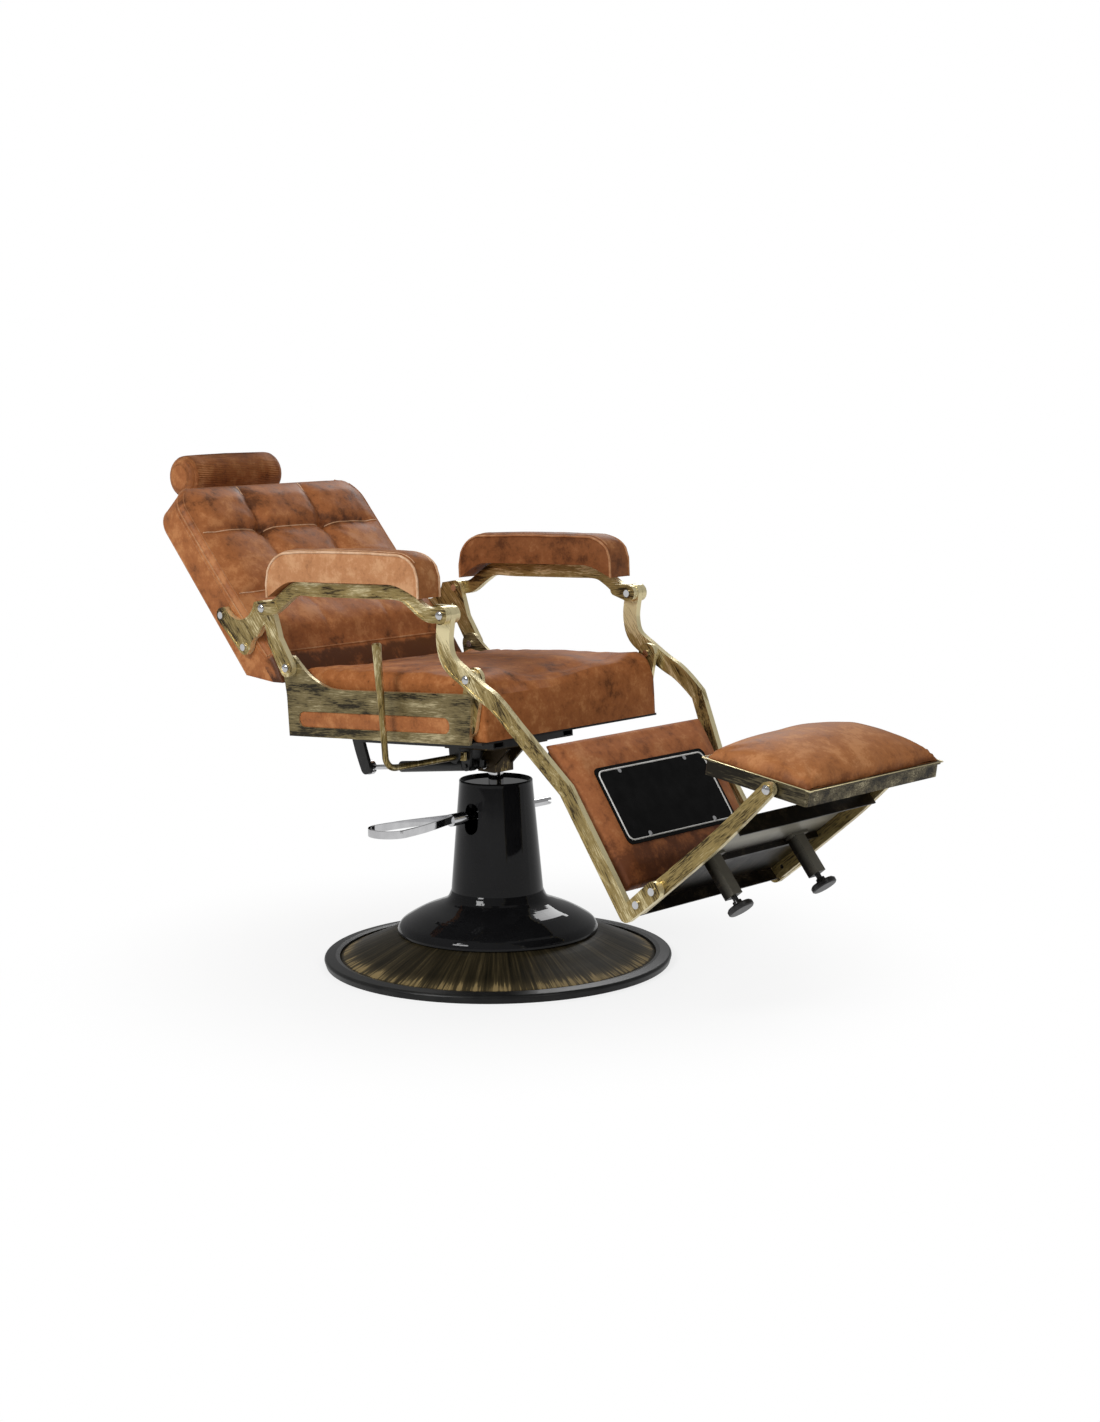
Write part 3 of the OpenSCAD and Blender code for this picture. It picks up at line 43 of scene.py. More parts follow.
film_wide, focal_dots, picture_dots = 36.0, 2396.6, 1100
ahead = Vector((-math.sin(bearing) * math.cos(fall), math.cos(bearing) * math.cos(fall), -math.sin(fall)))
level = Vector((math.cos(bearing), math.sin(bearing), 0))
above = level.cross(ahead)
across = level * math.cos(roll) + above * math.sin(roll)
upward = above * math.cos(roll) - level * math.sin(roll)
lens = bpy.data.cameras.new("studio_camera")
lens.sensor_fit = "HORIZONTAL"
lens.sensor_width = film_wide
lens.lens = focal_dots * film_wide / picture_dots
lens.clip_end = 60
studio_camera = bpy.data.objects.new("studio_camera", lens)
studio_camera.matrix_world = Matrix.Translation(stand) @ Matrix((across, upward, -ahead)).transposed().to_4x4()
bpy.context.scene.collection.objects.link(studio_camera)
bpy.context.scene.camera = studio_camera
bpy.context.scene.view_settings.view_transform = "Standard"


# ---------------------------------------------------------------- floor and lamps
# A wide sheet of matt white paper lies under the chair, and all beyond it is plain white.
# Three large soft lamps: one over the sitter's right, one in front, one behind.
def set_up(node, **values):
    """Fill in a node's settings and its named inputs; _ in an input's name stands for a space."""
    for key, value in values.items():
        if key in node.bl_rna.properties:
            setattr(node, key, value)
        else:
            node.inputs[key.replace("_", " ")].default_value = value
    return node


def node_of(tree, kind, **values):
    return set_up(tree.nodes.new("ShaderNode" + kind), **values)


def math_of(tree, operation, *numbers, kind="Math"):
    """A sum whose second and third numbers are filled in."""
    made = node_of(tree, kind, operation=operation)
    for socket, number in zip(made.inputs[1:], numbers):
        socket.default_value = number
    return made


def ease_of(tree, low, high, **ends):
    """A soft step that rises from low to high."""
    return node_of(tree, "MapRange", interpolation_type="SMOOTHSTEP", From_Min=low, From_Max=high, **ends)


def wire(tree, *runs):
    """Join nodes: each run is a node and its output, then a node and its input."""
    for giver, gives, taker, takes in runs:
        tree.links.new(giver.outputs[gives], taker.inputs[takes])


def finish_of(name, metallic=0.0, specular=0.5):
    """A new material, its tree of nodes and its shader."""
    made = bpy.data.materials.new(name)
    made.use_nodes = True
    shader = set_up(made.node_tree.nodes["Principled BSDF"], Metallic=metallic, Specular_IOR_Level=specular)
    return made, made.node_tree, shader


bpy.ops.object.select_all(action="DESELECT")
bpy.ops.mesh.primitive_plane_add(size=30, location=(0, 0, -0.0005))
floor = bpy.context.object
floor.name = "paper_floor"
paper, tree, sheet = finish_of("white paper", specular=0.1)
set_up(sheet, Base_Color=(0.86, 0.86, 0.86, 1), Roughness=0.9)
floor.data.materials.append(paper)
spot = node_of(tree, "TexCoord")
away = math_of(tree, "LENGTH", kind="VectorMath")
fade = ease_of(tree, 0.30, 0.95, To_Min=0.78)
looked_at = node_of(tree, "LightPath")
glow_share = math_of(tree, "MULTIPLY")
glow, dim = node_of(tree, "Emission"), node_of(tree, "Emission", Strength=0.65)
blend, mirrored = node_of(tree, "MixShader"), node_of(tree, "MixShader")
wire(tree, (spot, "Object", away, 0), (away, "Value", fade, "Value"), (fade, 0, glow_share, 0),
     (looked_at, "Is Camera Ray", glow_share, 1), (glow_share, 0, blend, "Fac"), (sheet, "BSDF", blend, 1),
     (glow, "Emission", blend, 2), (looked_at, "Is Glossy Ray", mirrored, "Fac"), (blend, 0, mirrored, 1),
     (dim, "Emission", mirrored, 2), (mirrored, 0, tree.nodes["Material Output"], "Surface"))

sky = bpy.data.worlds.new("studio")
sky.use_nodes = True
bpy.context.scene.world = sky
tree = sky.node_tree
tree.nodes.clear()
soft, plain = node_of(tree, "Background", Color=(1, 1, 1, 1)), node_of(tree, "Background", Color=(1, 1, 1, 1))
path = node_of(tree, "LightPath")
either, dimmed = math_of(tree, "MAXIMUM"), math_of(tree, "MULTIPLY_ADD", -0.16, 0.44)
swap, out = node_of(tree, "MixShader"), node_of(tree, "OutputWorld")
wire(tree, (path, "Is Glossy Ray", dimmed, 0), (dimmed, 0, soft, "Strength"), (path, "Is Camera Ray", either, 0),
     (path, "Is Transmission Ray", either, 1), (either, 0, swap, "Fac"), (soft, 0, swap, 1), (plain, 0, swap, 2),
     (swap, 0, out, "Surface"))


def softbox(name, place, aim, width, height, power):
    """A large soft lamp that faces the point it is aimed at."""
    lamp = bpy.data.lights.new(name, "AREA")
    lamp.shape = "RECTANGLE"
    lamp.size, lamp.size_y, lamp.energy = width, height, power
    box = bpy.data.objects.new(name, lamp)
    box.location = place
    box.rotation_euler = (Vector(aim) - Vector(place)).to_track_quat("-Z", "Y").to_euler()
    bpy.context.scene.collection.objects.link(box)


softbox("key_lamp", (-0.2, -3.6, 3.0), (0, 0, 0.5), 1.3, 1.3, 86)
softbox("front_lamp", (3.6, -0.6, 2.2), (0, 0, 0.5), 1.0, 1.6, 16)
softbox("rear_lamp", (-1.8, 2.8, 2.6), (0, 0, 0.6), 1.4, 1.4, 30)


# ---------------------------------------------------------------- base plate and edge ring
# A steel disc with a black rubber ring pressed round its edge.
# The ring is satin and slightly dusty, in patches.
def ramp_of(tree, stops):
    """Colours that blend into each other, each at its place from 0 to 1."""
    made = node_of(tree, "ValToRGB")
    band = made.color_ramp
    while len(band.elements) < len(stops):
        band.elements.new(0.5)
    for stop, (place, colour) in zip(band.elements, stops):
        stop.position = place
        stop.color = (*colour, 1)
    return made


def dress(material, *names):
    """Give these solids the material, and no other."""
    for name in names:
        mesh = cast[name].data
        mesh.materials.clear()
        mesh.materials.append(material)


def group_of(name, **inputs):
    """A group of nodes that gives a colour, a roughness and a normal; its inputs are colours or numbers."""
    group = bpy.data.node_groups.new(name, "ShaderNodeTree")
    for label, value in inputs.items():
        coloured = isinstance(value, tuple)
        socket = group.interface.new_socket(name=label, in_out="INPUT",
                                            socket_type="NodeSocketColor" if coloured else "NodeSocketFloat")
        socket.default_value = (*value, 1) if coloured else value
    for label, kind in (("Color", "Color"), ("Roughness", "Float"), ("Normal", "Vector")):
        group.interface.new_socket(name=label, in_out="OUTPUT", socket_type="NodeSocket" + kind)
    return group, group.nodes.new("NodeGroupInput"), group.nodes.new("NodeGroupOutput"), node_of(group, "TexCoord")


def layered(tree, shader, group, **values):
    """Lay the group on the shader, which takes its colour, roughness and normal."""
    layer = node_of(tree, "Group", node_tree=group)
    for label, value in values.items():
        layer.inputs[label].default_value = (*value, 1) if isinstance(value, tuple) else value
    wire(tree, (layer, "Color", shader, "Base Color"), (layer, "Roughness", shader, "Roughness"),
         (layer, "Normal", shader, "Normal"))
    return layer


# Coats: a colour that drifts between two tones, more or less dull, over a fine grain
speckle, into, outof, where = group_of("drifting coat", Tone=(0.03, 0.03, 0.03), Dust=(0.08, 0.08, 0.08),
                                       Scale=30.0, Rough=0.45, Bump=0.05)
cloud = node_of(speckle, "TexNoise", Detail=6.0, Roughness=0.6)
fine = node_of(speckle, "TexNoise", Scale=900.0, Detail=2.0)
spread = ramp_of(speckle, [(0.38, (0, 0, 0)), (0.75, (1, 1, 1))])
tint = node_of(speckle, "Mix", data_type="RGBA")
rough = math_of(speckle, "MULTIPLY_ADD", 0.18)
dent = node_of(speckle, "Bump", Distance=0.0006)
wire(speckle, (where, "Object", cloud, "Vector"), (where, "Object", fine, "Vector"), (into, "Scale", cloud, "Scale"),
     (cloud, "Fac", spread, "Fac"), (spread, "Color", tint, "Factor"), (into, "Tone", tint, "A"),
     (into, "Dust", tint, "B"), (cloud, "Fac", rough, 0), (into, "Rough", rough, 2), (fine, "Fac", dent, "Height"),
     (into, "Bump", dent, "Strength"), (tint, "Result", outof, "Color"), (rough, 0, outof, "Roughness"),
     (dent, "Normal", outof, "Normal"))


def coat_of(name, tone, dust, scale, rough, bump, **kind):
    """A painted or plated coat in two tones, for one kind of piece."""
    made, tree, shader = finish_of(name, **kind)
    layered(tree, shader, speckle, Tone=tone, Dust=dust, Scale=scale, Rough=rough, Bump=bump)
    return made


ring_rubber = coat_of("satin edge rubber", (0.008, 0.008, 0.008), (0.020, 0.020, 0.019), 18, 0.24, 0.06, specular=0.25)
floor_steel = coat_of("oiled steel plate", (0.05, 0.05, 0.05), (0.10, 0.09, 0.08), 24, 0.45, 0.05, metallic=0.8)
dress(ring_rubber, "base_ring")
dress(floor_steel, "base_plate")

# ---------------------------------------------------------------- base dish
# The spun steel dish is painted near-black and dry-brushed with gold.
# The strokes run out from the middle and catch most gold near the outer lip.
brushed_dish, tree, shader = finish_of("radially brushed dish", specular=0.06)
where, parts = node_of(tree, "TexCoord"), node_of(tree, "SeparateXYZ")
flat, lift = node_of(tree, "CombineXYZ"), node_of(tree, "CombineXYZ")
reach, way = math_of(tree, "LENGTH", kind="VectorMath"), math_of(tree, "NORMALIZE", kind="VectorMath")
spokes = node_of(tree, "VectorMath", operation="SCALE", Scale=44.0)
slow = math_of(tree, "MULTIPLY", 9.0)
strokes_at = math_of(tree, "ADD", kind="VectorMath")
strokes = node_of(tree, "TexNoise", Scale=1.0, Detail=7.0, Roughness=0.62)
wide_at = node_of(tree, "VectorMath", operation="SCALE", Scale=0.22)
wide = node_of(tree, "TexNoise", Scale=1.0, Detail=3.0)
lip = ease_of(tree, 0.262, 0.296)
beyond = ease_of(tree, 0.2985, 0.302, To_Min=1.0, To_Max=0.25)
lean_on = math_of(tree, "MULTIPLY")
gold_at, both = math_of(tree, "MULTIPLY_ADD", 0.24), math_of(tree, "MULTIPLY_ADD", 0.42)
gilding = ramp_of(tree, [(0.50, (0.008, 0.007, 0.004)), (0.72, (0.024, 0.019, 0.010)), (0.90, (0.060, 0.046, 0.023)),
                         (1.00, (0.26, 0.19, 0.085))])
shine = ramp_of(tree, [(0.35, (0.50, 0.50, 0.50)), (0.75, (0.38, 0.38, 0.38))])
wire(tree, (where, "Object", parts, 0), (parts, "X", flat, "X"), (parts, "Y", flat, "Y"), (flat, 0, reach, 0),
     (flat, 0, way, 0), (way, 0, spokes, 0), (reach, "Value", slow, 0), (slow, 0, lift, "Z"),
     (spokes, 0, strokes_at, 0), (lift, 0, strokes_at, 1), (strokes_at, 0, strokes, "Vector"),
     (strokes_at, 0, wide_at, 0), (wide_at, 0, wide, "Vector"), (reach, "Value", lip, "Value"),
     (reach, "Value", beyond, "Value"), (lip, 0, lean_on, 0), (beyond, 0, lean_on, 1), (lean_on, 0, gold_at, 0),
     (strokes, "Fac", gold_at, 2), (wide, "Fac", both, 0), (gold_at, 0, both, 2), (both, 0, gilding, "Fac"),
     (both, 0, shine, "Fac"), (gilding, "Color", shader, "Base Color"), (shine, "Color", shader, "Roughness"))
dress(brushed_dish, "base_dish")

# ---------------------------------------------------------------- pump
# The cover, its skirt and the cap are stove-enamelled deep black.
# Inside them the cylinder and the piston head are plain dark steel.
enamel = coat_of("black stove enamel", (0.006, 0.006, 0.0065), (0.010, 0.010, 0.011), 9, -0.045, 0.0, specular=0.24)
dark_steel = coat_of("dark oiled steel", (0.030, 0.027, 0.024), (0.075, 0.068, 0.060), 40, 0.38, 0.06, metallic=0.5)
dress(enamel, "pump_cover", "pump_cap")
dress(dark_steel, "pump_cylinder", "piston_head")

# ---------------------------------------------------------------- chromed parts
# Piston rod, pedal, bolts and screws are polished and plated.
# Fine hazy patches keep the plating from looking like a mirror.
plating = coat_of("chrome plating", (0.80, 0.80, 0.81), (0.60, 0.60, 0.61), 26, -0.03, 0.02, metallic=1.0)
dress(plating, "piston_rod", "pedal_yoke", "pedal_loop", "socket_bolt", "seat_bolts", "arm_bolts", "link_bolts",
      "back_screws", "ear_screws", "tray_screws", "strut_rod", "plate_screws")

# ---------------------------------------------------------------- brush-painted castings
# The links, arm bars, brackets, ears and bars are cast, painted black-brown and dry-brushed
# with pale gold along their length, and their worn edges are palest. The tray, the foot plate,
# the socket, the lever and the headrest's post are brushed in the same way, most of them darker.
strokes_group, into, outof, where = group_of(
    "dry brushed gold", Turn=0.0, Dark=(0.042, 0.026, 0.009), Mid=(0.37, 0.270, 0.098), Pale=(0.92, 0.80, 0.47),
    Cover=0.0, Edge=0.0, Patch=1.1)
turned = node_of(strokes_group, "VectorRotate", rotation_type="Y_AXIS")
drawn = math_of(strokes_group, "MULTIPLY", (38.0, 420.0, 560.0), kind="VectorMath")
streaks = node_of(strokes_group, "TexNoise", Scale=1.0, Detail=4.0, Roughness=0.72)
patchy = math_of(strokes_group, "MULTIPLY", (9.0, 30.0, 42.0), kind="VectorMath")
patches = node_of(strokes_group, "TexNoise", Scale=1.0, Detail=4.0, Roughness=0.6)
mixed, summed = math_of(strokes_group, "MULTIPLY_ADD"), math_of(strokes_group, "ADD")
edged = math_of(strokes_group, "MULTIPLY_ADD", 0.42)
low, high = ease_of(strokes_group, 0.90, 1.06), ease_of(strokes_group, 1.12, 1.34)
first, second = (node_of(strokes_group, "Mix", data_type="RGBA") for each in range(2))
rough = node_of(strokes_group, "MapRange", From_Min=0.6, From_Max=1.2, To_Min=0.40, To_Max=0.28)
ridge = node_of(strokes_group, "Bump", Distance=0.0006, Strength=0.35)
wire(strokes_group, (where, "Object", turned, "Vector"), (into, "Turn", turned, "Angle"), (turned, 0, drawn, 0),
     (turned, 0, patchy, 0), (drawn, 0, streaks, "Vector"), (patchy, 0, patches, "Vector"),
     (patches, "Fac", mixed, 0), (into, "Patch", mixed, 1), (streaks, "Fac", mixed, 2), (mixed, 0, summed, 0),
     (into, "Cover", summed, 1), (into, "Edge", edged, 0), (summed, 0, edged, 2), (edged, 0, low, "Value"),
     (edged, 0, high, "Value"), (edged, 0, rough, "Value"), (low, 0, first, "Factor"), (into, "Dark", first, "A"),
     (into, "Mid", first, "B"), (high, 0, second, "Factor"), (first, "Result", second, "A"),
     (into, "Pale", second, "B"), (streaks, "Fac", ridge, "Height"), (second, "Result", outof, "Color"),
     (rough, 0, outof, "Roughness"), (ridge, "Normal", outof, "Normal"))


def casting_of(name, lean, cover=0.0, edge=0.8, patch=1.1, metallic=0.6, specular=0.5, upper=None, **tones):
    """Gold strokes along a member that rises by lean degrees: cover is how much gold, edge how much more on
    the edges. Upper gives two heights, and the cover reached between them: a painted highlight, paler higher up."""
    made, tree, shader = finish_of(name, metallic, specular)
    layer = layered(tree, shader, strokes_group, Turn=math.radians(lean), Cover=cover, Patch=patch, **tones)
    shape, normal = node_of(tree, "NewGeometry"), node_of(tree, "SeparateXYZ")
    flatness, rim, share = math_of(tree, "ABSOLUTE"), math_of(tree, "LESS_THAN", 0.93), math_of(tree, "MULTIPLY", edge)
    wire(tree, (shape, "True Normal", normal, 0), (normal, "Y", flatness, 0), (flatness, 0, rim, 0),
         (rim, 0, share, 0), (share, 0, layer, "Edge"))
    if upper:
        place, spot = node_of(tree, "TexCoord"), node_of(tree, "SeparateXYZ")
        paler = ease_of(tree, *upper[:2], To_Min=cover, To_Max=upper[2])
        wire(tree, (place, "Object", spot, 0), (spot, "Z", paler, "Value"), (paler, 0, layer, "Cover"))
    return made


def pair(*stems):
    """The names of the left and the right piece of each kind."""
    return [stem + side for stem in stems for side in ("_left", "_right")]


seat_lean, arm_lean, back_lean, leg_lean, tray_lean, step_rise = 3.5, 1.9, 41.4, 34.5, -8.6, 38.8
# The links are paler towards their tops: a painted highlight, set by upper.
link_gold = casting_of("link gold, strokes down the leg, painted highlight up top", leg_lean - 90, 0.02, upper=(0.56, 0.68, 0.36))
arm_gold = casting_of("arm bar gold, strokes along the arm", arm_lean, 0.05)
bracket_gold = casting_of("bracket gold, strokes up the back", back_lean - 90)
bar_gold = casting_of("foot bar gold, strokes along the bar", step_rise, 0.31, edge=0.5, patch=0.45)
socket_gold = casting_of("socket gold", 80, -0.30, edge=0.1)
lever_gold = casting_of("lever gold, strokes up the rod", 86, 0.08, edge=0.0, metallic=0.85)
post_gold = casting_of("post gold", -48, -0.05, edge=0.3)
panel_bronze = casting_of("side panel bronze", seat_lean, 0.02, edge=0.7, Dark=(0.026, 0.019, 0.008),
                          Mid=(0.23, 0.178, 0.078), Pale=(0.62, 0.52, 0.30))
tray_bronze = casting_of("tray bronze", tray_lean, -0.10, edge=0.15, Dark=(0.016, 0.012, 0.006),
                         Mid=(0.115, 0.094, 0.050), Pale=(0.62, 0.54, 0.34))
step_brown = casting_of("foot plate brown, painted highlight band", step_rise, -0.22, edge=0.1, metallic=0.25, specular=0.2,
                        Dark=(0.007, 0.005, 0.003), Mid=(0.036, 0.026, 0.015), Pale=(0.30, 0.25, 0.16))
dress(link_gold, *pair("front_link"))
dress(arm_gold, *pair("arm_bar"))
dress(bracket_gold, *pair("back_bracket", "front_ear"))
dress(bar_gold, *pair("foot_bar"))
dress(socket_gold, "pump_socket")
dress(lever_gold, "release_lever", "lever_grip")
dress(post_gold, "headrest_post")
dress(panel_bronze, *pair("side_panel"))
dress(tray_bronze, "footrest_tray")
dress(step_brown, "foot_plate")
for name in pair("front_link", "arm_bar", "back_bracket", "foot_bar", "side_panel", "front_ear") + ["footrest_tray"]:
    edge_bevel_and_painted_shade = cast[name].modifiers.new("worn edge", "BEVEL")
    edge_bevel_and_painted_shade.width, edge_bevel_and_painted_shade.segments, edge_bevel_and_painted_shade.limit_method, edge_bevel_and_painted_shade.angle_limit = 0.0013, 2, "ANGLE", math.radians(50)

# A pale band across the foot plate's rising part is a painted highlight.
tree = step_brown.node_tree
up_step = (math.cos(math.radians(step_rise)), 0, math.sin(math.radians(step_rise)))
bend_x, bend_z = 0.515659, 0.203864
bend_run = bend_x * up_step[0] + bend_z * up_step[2]
where = node_of(tree, "TexCoord")
slope = math_of(tree, "DOT_PRODUCT", up_step, kind="VectorMath")
wear_and_painted_light = ramp_of(tree, [(0.0, (0, 0, 0)), (0.30, (1, 1, 1)), (0.62, (0.75, 0.75, 0.75)), (0.86, (0, 0, 0))])
run = node_of(tree, "MapRange", From_Min=bend_run + 0.145, From_Max=bend_run + 0.290)
painted_highlight = node_of(tree, "Mix", data_type="RGBA", B=(0.34, 0.32, 0.26, 1))
wire(tree, (where, "Object", slope, 0), (slope, "Value", run, "Value"), (run, 0, wear_and_painted_light, "Fac"),
     (wear_and_painted_light, "Color", painted_highlight, "Factor"), (tree.nodes["Group"], "Color", painted_highlight, "A"),
     (painted_highlight, "Result", tree.nodes["Principled BSDF"], "Base Color"))

# ---------------------------------------------------------------- frame, hangers and strut
# Black-painted steel under the seat and behind the calf pad, with a black gas strut.
# The boards under the cushions are stained black, and the two glides are moulded.
frame_black = coat_of("satin frame paint", (0.010, 0.010, 0.010), (0.026, 0.025, 0.024), 35, 0.30, 0.05)
board_black = coat_of("black stained board", (0.010, 0.009, 0.008), (0.028, 0.025, 0.022), 60, 0.55, 0.15)
glide_black = coat_of("moulded glide foot", (0.008, 0.008, 0.008), (0.022, 0.022, 0.022), 70, 0.22, 0.05)
dress(frame_black, "seat_rails", "seat_crossbars", "lever_hanger", "strut_hanger", "strut_cylinder", "recline_crank",
      "headrest_sleeve", "leg_crossbars")
dress(board_black, "seat_board", "calf_board")
dress(glide_black, *pair("glide"))

# ---------------------------------------------------------------- leather
# One hide group for every cover: waxed cognac leather, mottled dark and tan,
# with a pebbled grain and hair-fine creases. The dark, waxed patches shine a little more.
hide, into, outof, where = group_of("waxed hide", Dark=(0.110, 0.035, 0.010), Cognac=(0.360, 0.122, 0.036),
                                    Tan=(0.500, 0.205, 0.073), Shade=0.0, Crease=0.35)
broad = node_of(hide, "TexNoise", Scale=17.0, Detail=6.0, Roughness=0.62, Distortion=0.25)
blots = node_of(hide, "TexNoise", Scale=62.0, Detail=6.0, Roughness=0.72, Distortion=0.15)
fibres = node_of(hide, "TexNoise", Scale=230.0, Detail=3.0, Roughness=0.6)
weigh, weigh_more = math_of(hide, "MULTIPLY_ADD", 0.62), math_of(hide, "MULTIPLY_ADD", 0.20)
shaded = math_of(hide, "ADD")
dark_to, tan_to = ease_of(hide, 0.63, 0.94), ease_of(hide, 0.92, 1.14)
first, second = (node_of(hide, "Mix", data_type="RGBA") for each in range(2))
pebbles = node_of(hide, "TexVoronoi", Scale=620.0, feature="SMOOTH_F1")
veins = node_of(hide, "TexNoise", Scale=75.0, Detail=5.0, Roughness=0.55, Distortion=1.4)
vein_line, vein_abs = math_of(hide, "SUBTRACT", 0.5), math_of(hide, "ABSOLUTE")
vein_cut = ease_of(hide, 0.0, 0.035)
grain_sum = math_of(hide, "MULTIPLY_ADD")
pebble = node_of(hide, "Bump", Distance=0.0005, Strength=0.35)
sheen = node_of(hide, "MapRange", From_Min=0.75, From_Max=1.1, To_Min=0.46, To_Max=0.58)
wire(hide, *((where, "Object", texture, "Vector") for texture in (broad, blots, fibres, pebbles, veins)),
     (blots, "Fac", weigh, 0), (broad, "Fac", weigh, 2), (fibres, "Fac", weigh_more, 0), (weigh, 0, weigh_more, 2),
     (weigh_more, 0, shaded, 0), (into, "Shade", shaded, 1), (shaded, 0, dark_to, "Value"),
     (shaded, 0, tan_to, "Value"), (shaded, 0, sheen, "Value"), (dark_to, 0, first, "Factor"),
     (into, "Dark", first, "A"), (into, "Cognac", first, "B"), (tan_to, 0, second, "Factor"),
     (first, "Result", second, "A"), (into, "Tan", second, "B"), (veins, "Fac", vein_line, 0),
     (vein_line, 0, vein_abs, 0), (vein_abs, 0, vein_cut, "Value"), (vein_cut, 0, grain_sum, 0),
     (into, "Crease", grain_sum, 1), (pebbles, "Distance", grain_sum, 2), (grain_sum, 0, pebble, "Height"),
     (second, "Result", outof, "Color"), (sheen, 0, outof, "Roughness"), (pebble, "Normal", outof, "Normal"))


def leather_of(name, shade=0.0, crease=0.35, wear_and_painted_light=False, gloss=0.24, **tones):
    """A cover cut from the hide; with the flag set it also takes the painted shade (darker) and painted light (paler)
    that are marked on its points.
    """
    made, tree, shader = finish_of(name, specular=gloss)
    layer = layered(tree, shader, hide, Shade=shade, Crease=crease, **tones)
    if wear_and_painted_light:
        # Painted shade and painted light, read from the marks on the cover's points.
        edge_bevel_and_painted_shade = node_of(tree, "Attribute", attribute_name="painted_light_and_shade")
        more = math_of(tree, "ADD", shade)
        wire(tree, (edge_bevel_and_painted_shade, "Fac", more, 0), (more, 0, layer, "Shade"))
    return made


# The seat, tufted back, footrest and calf covers take painted shade and light from marks on their points.
seat_hide = leather_of("seat hide, painted shade and light in its folds", 0.03, wear_and_painted_light=True, gloss=0.10)
back_hide = leather_of("back hide", 0.05)
tufted_hide = leather_of("tufted hide, painted shade in its folds", 0.02, wear_and_painted_light=True)
strip_hide = leather_of("strip hide", 0.04)
# Lit and shaded copies of one hide: the near arm pad's sides are painted light, its top and ends a darker copy,
# painted shade, and the far pad painted shade all over.
arm_hide_painted_light = leather_of("arm hide, painted light", 0.05, 0.25, Dark=(0.25, 0.100, 0.038), Cognac=(0.50, 0.225, 0.095),
                      Tan=(0.62, 0.33, 0.165))
far_hide_painted_shade = leather_of("far arm's hide, painted shade", -0.04, 0.25, Dark=(0.10, 0.032, 0.010),
                      Cognac=(0.26, 0.090, 0.028), Tan=(0.40, 0.17, 0.065))
arm_top_hide_painted_shade = leather_of("arm top's hide, painted shade", 0.02, 0.25, gloss=0.10, Dark=(0.15, 0.052, 0.017),
                      Cognac=(0.33, 0.125, 0.042), Tan=(0.47, 0.22, 0.090))
dome_hide = leather_of("footrest hide, warmer", 0.02, 0.25, wear_and_painted_light=True, gloss=0.14, Dark=(0.22, 0.075, 0.024),
                       Cognac=(0.42, 0.160, 0.053), Tan=(0.56, 0.25, 0.10))
calf_hide = leather_of("calf hide, redder", 0.0, 0.25, wear_and_painted_light=True, Dark=(0.16, 0.048, 0.015),
                       Cognac=(0.40, 0.135, 0.043), Tan=(0.52, 0.22, 0.085))
cord_hide = leather_of("rubbed hide of the cords", 0.06, 0.1, Dark=(0.22, 0.080, 0.028),
                       Cognac=(0.40, 0.165, 0.065), Tan=(0.54, 0.28, 0.135))
# Pale cords that paint a highlight: on the near arm pad's seams and along the back's pleats and sewn valleys.
cord_hide_painted_highlight = leather_of("painted highlight cords", 0.1, 0.1, Dark=(0.42, 0.21, 0.10),
                           Cognac=(0.62, 0.36, 0.20), Tan=(0.75, 0.50, 0.32))
dress(back_hide, "back_shell")


# ---------------------------------------------------------------- seat cushion
# A thick foam box in stretched leather: tall front face, rounded front edge, a low crown.
# Where the cover is pulled round the rear corners it gathers in shallow folds.
def leaned(x, z, lean):
    """A piece's own frame, which starts at x and z in the chair and leans back by lean degrees."""
    return Matrix.Translation((x, 0, z)) @ Matrix.Rotation(-math.radians(lean), 4, "Y")


def smooth(low, high, value):
    """0 up to low and 1 from high on, with a soft rise between them."""
    t = min(1.0, max(0.0, (value - low) / (high - low)))
    return t * t * (3 - 2 * t)


outer = 0.999  # a corner further out than this lies on one of the block's outer faces


def stuffed(name, cuts, shape, place):
    """A block cut into small squares and pushed into shape: shape takes a, b and c, a corner's place in a block
    that reaches from -1 to 1, and gives its place in the piece's own frame."""
    bpy.ops.object.select_all(action="DESELECT")
    bpy.ops.mesh.primitive_cube_add(size=2, location=(0, 0, 0))
    made = bpy.context.object
    made.name = made.data.name = name
    bpy.ops.object.mode_set(mode="EDIT")
    bpy.ops.mesh.select_all(action="SELECT")
    bpy.ops.mesh.subdivide(number_cuts=cuts)
    bpy.ops.object.mode_set(mode="OBJECT")
    for point in made.data.vertices:
        point.co = place @ Vector(shape(*point.co))
    for face in made.data.polygons:
        face.use_smooth = True
    bpy.ops.object.mode_set(mode="EDIT")
    bpy.ops.mesh.select_all(action="SELECT")
    bpy.ops.mesh.normals_make_consistent(inside=False)
    bpy.ops.object.mode_set(mode="OBJECT")
    return made


def rolled(inset, radius):
    """How far an edge of this radius has fallen, this far in from the side."""
    return radius - math.sqrt(max(0.0, radius ** 2 - (radius - inset) ** 2)) if inset < radius else 0.0


def fold(spot, scale, depth):
    """A small uneven swelling of the cover at this spot."""
    return depth * noise.noise(Vector(spot) * scale)


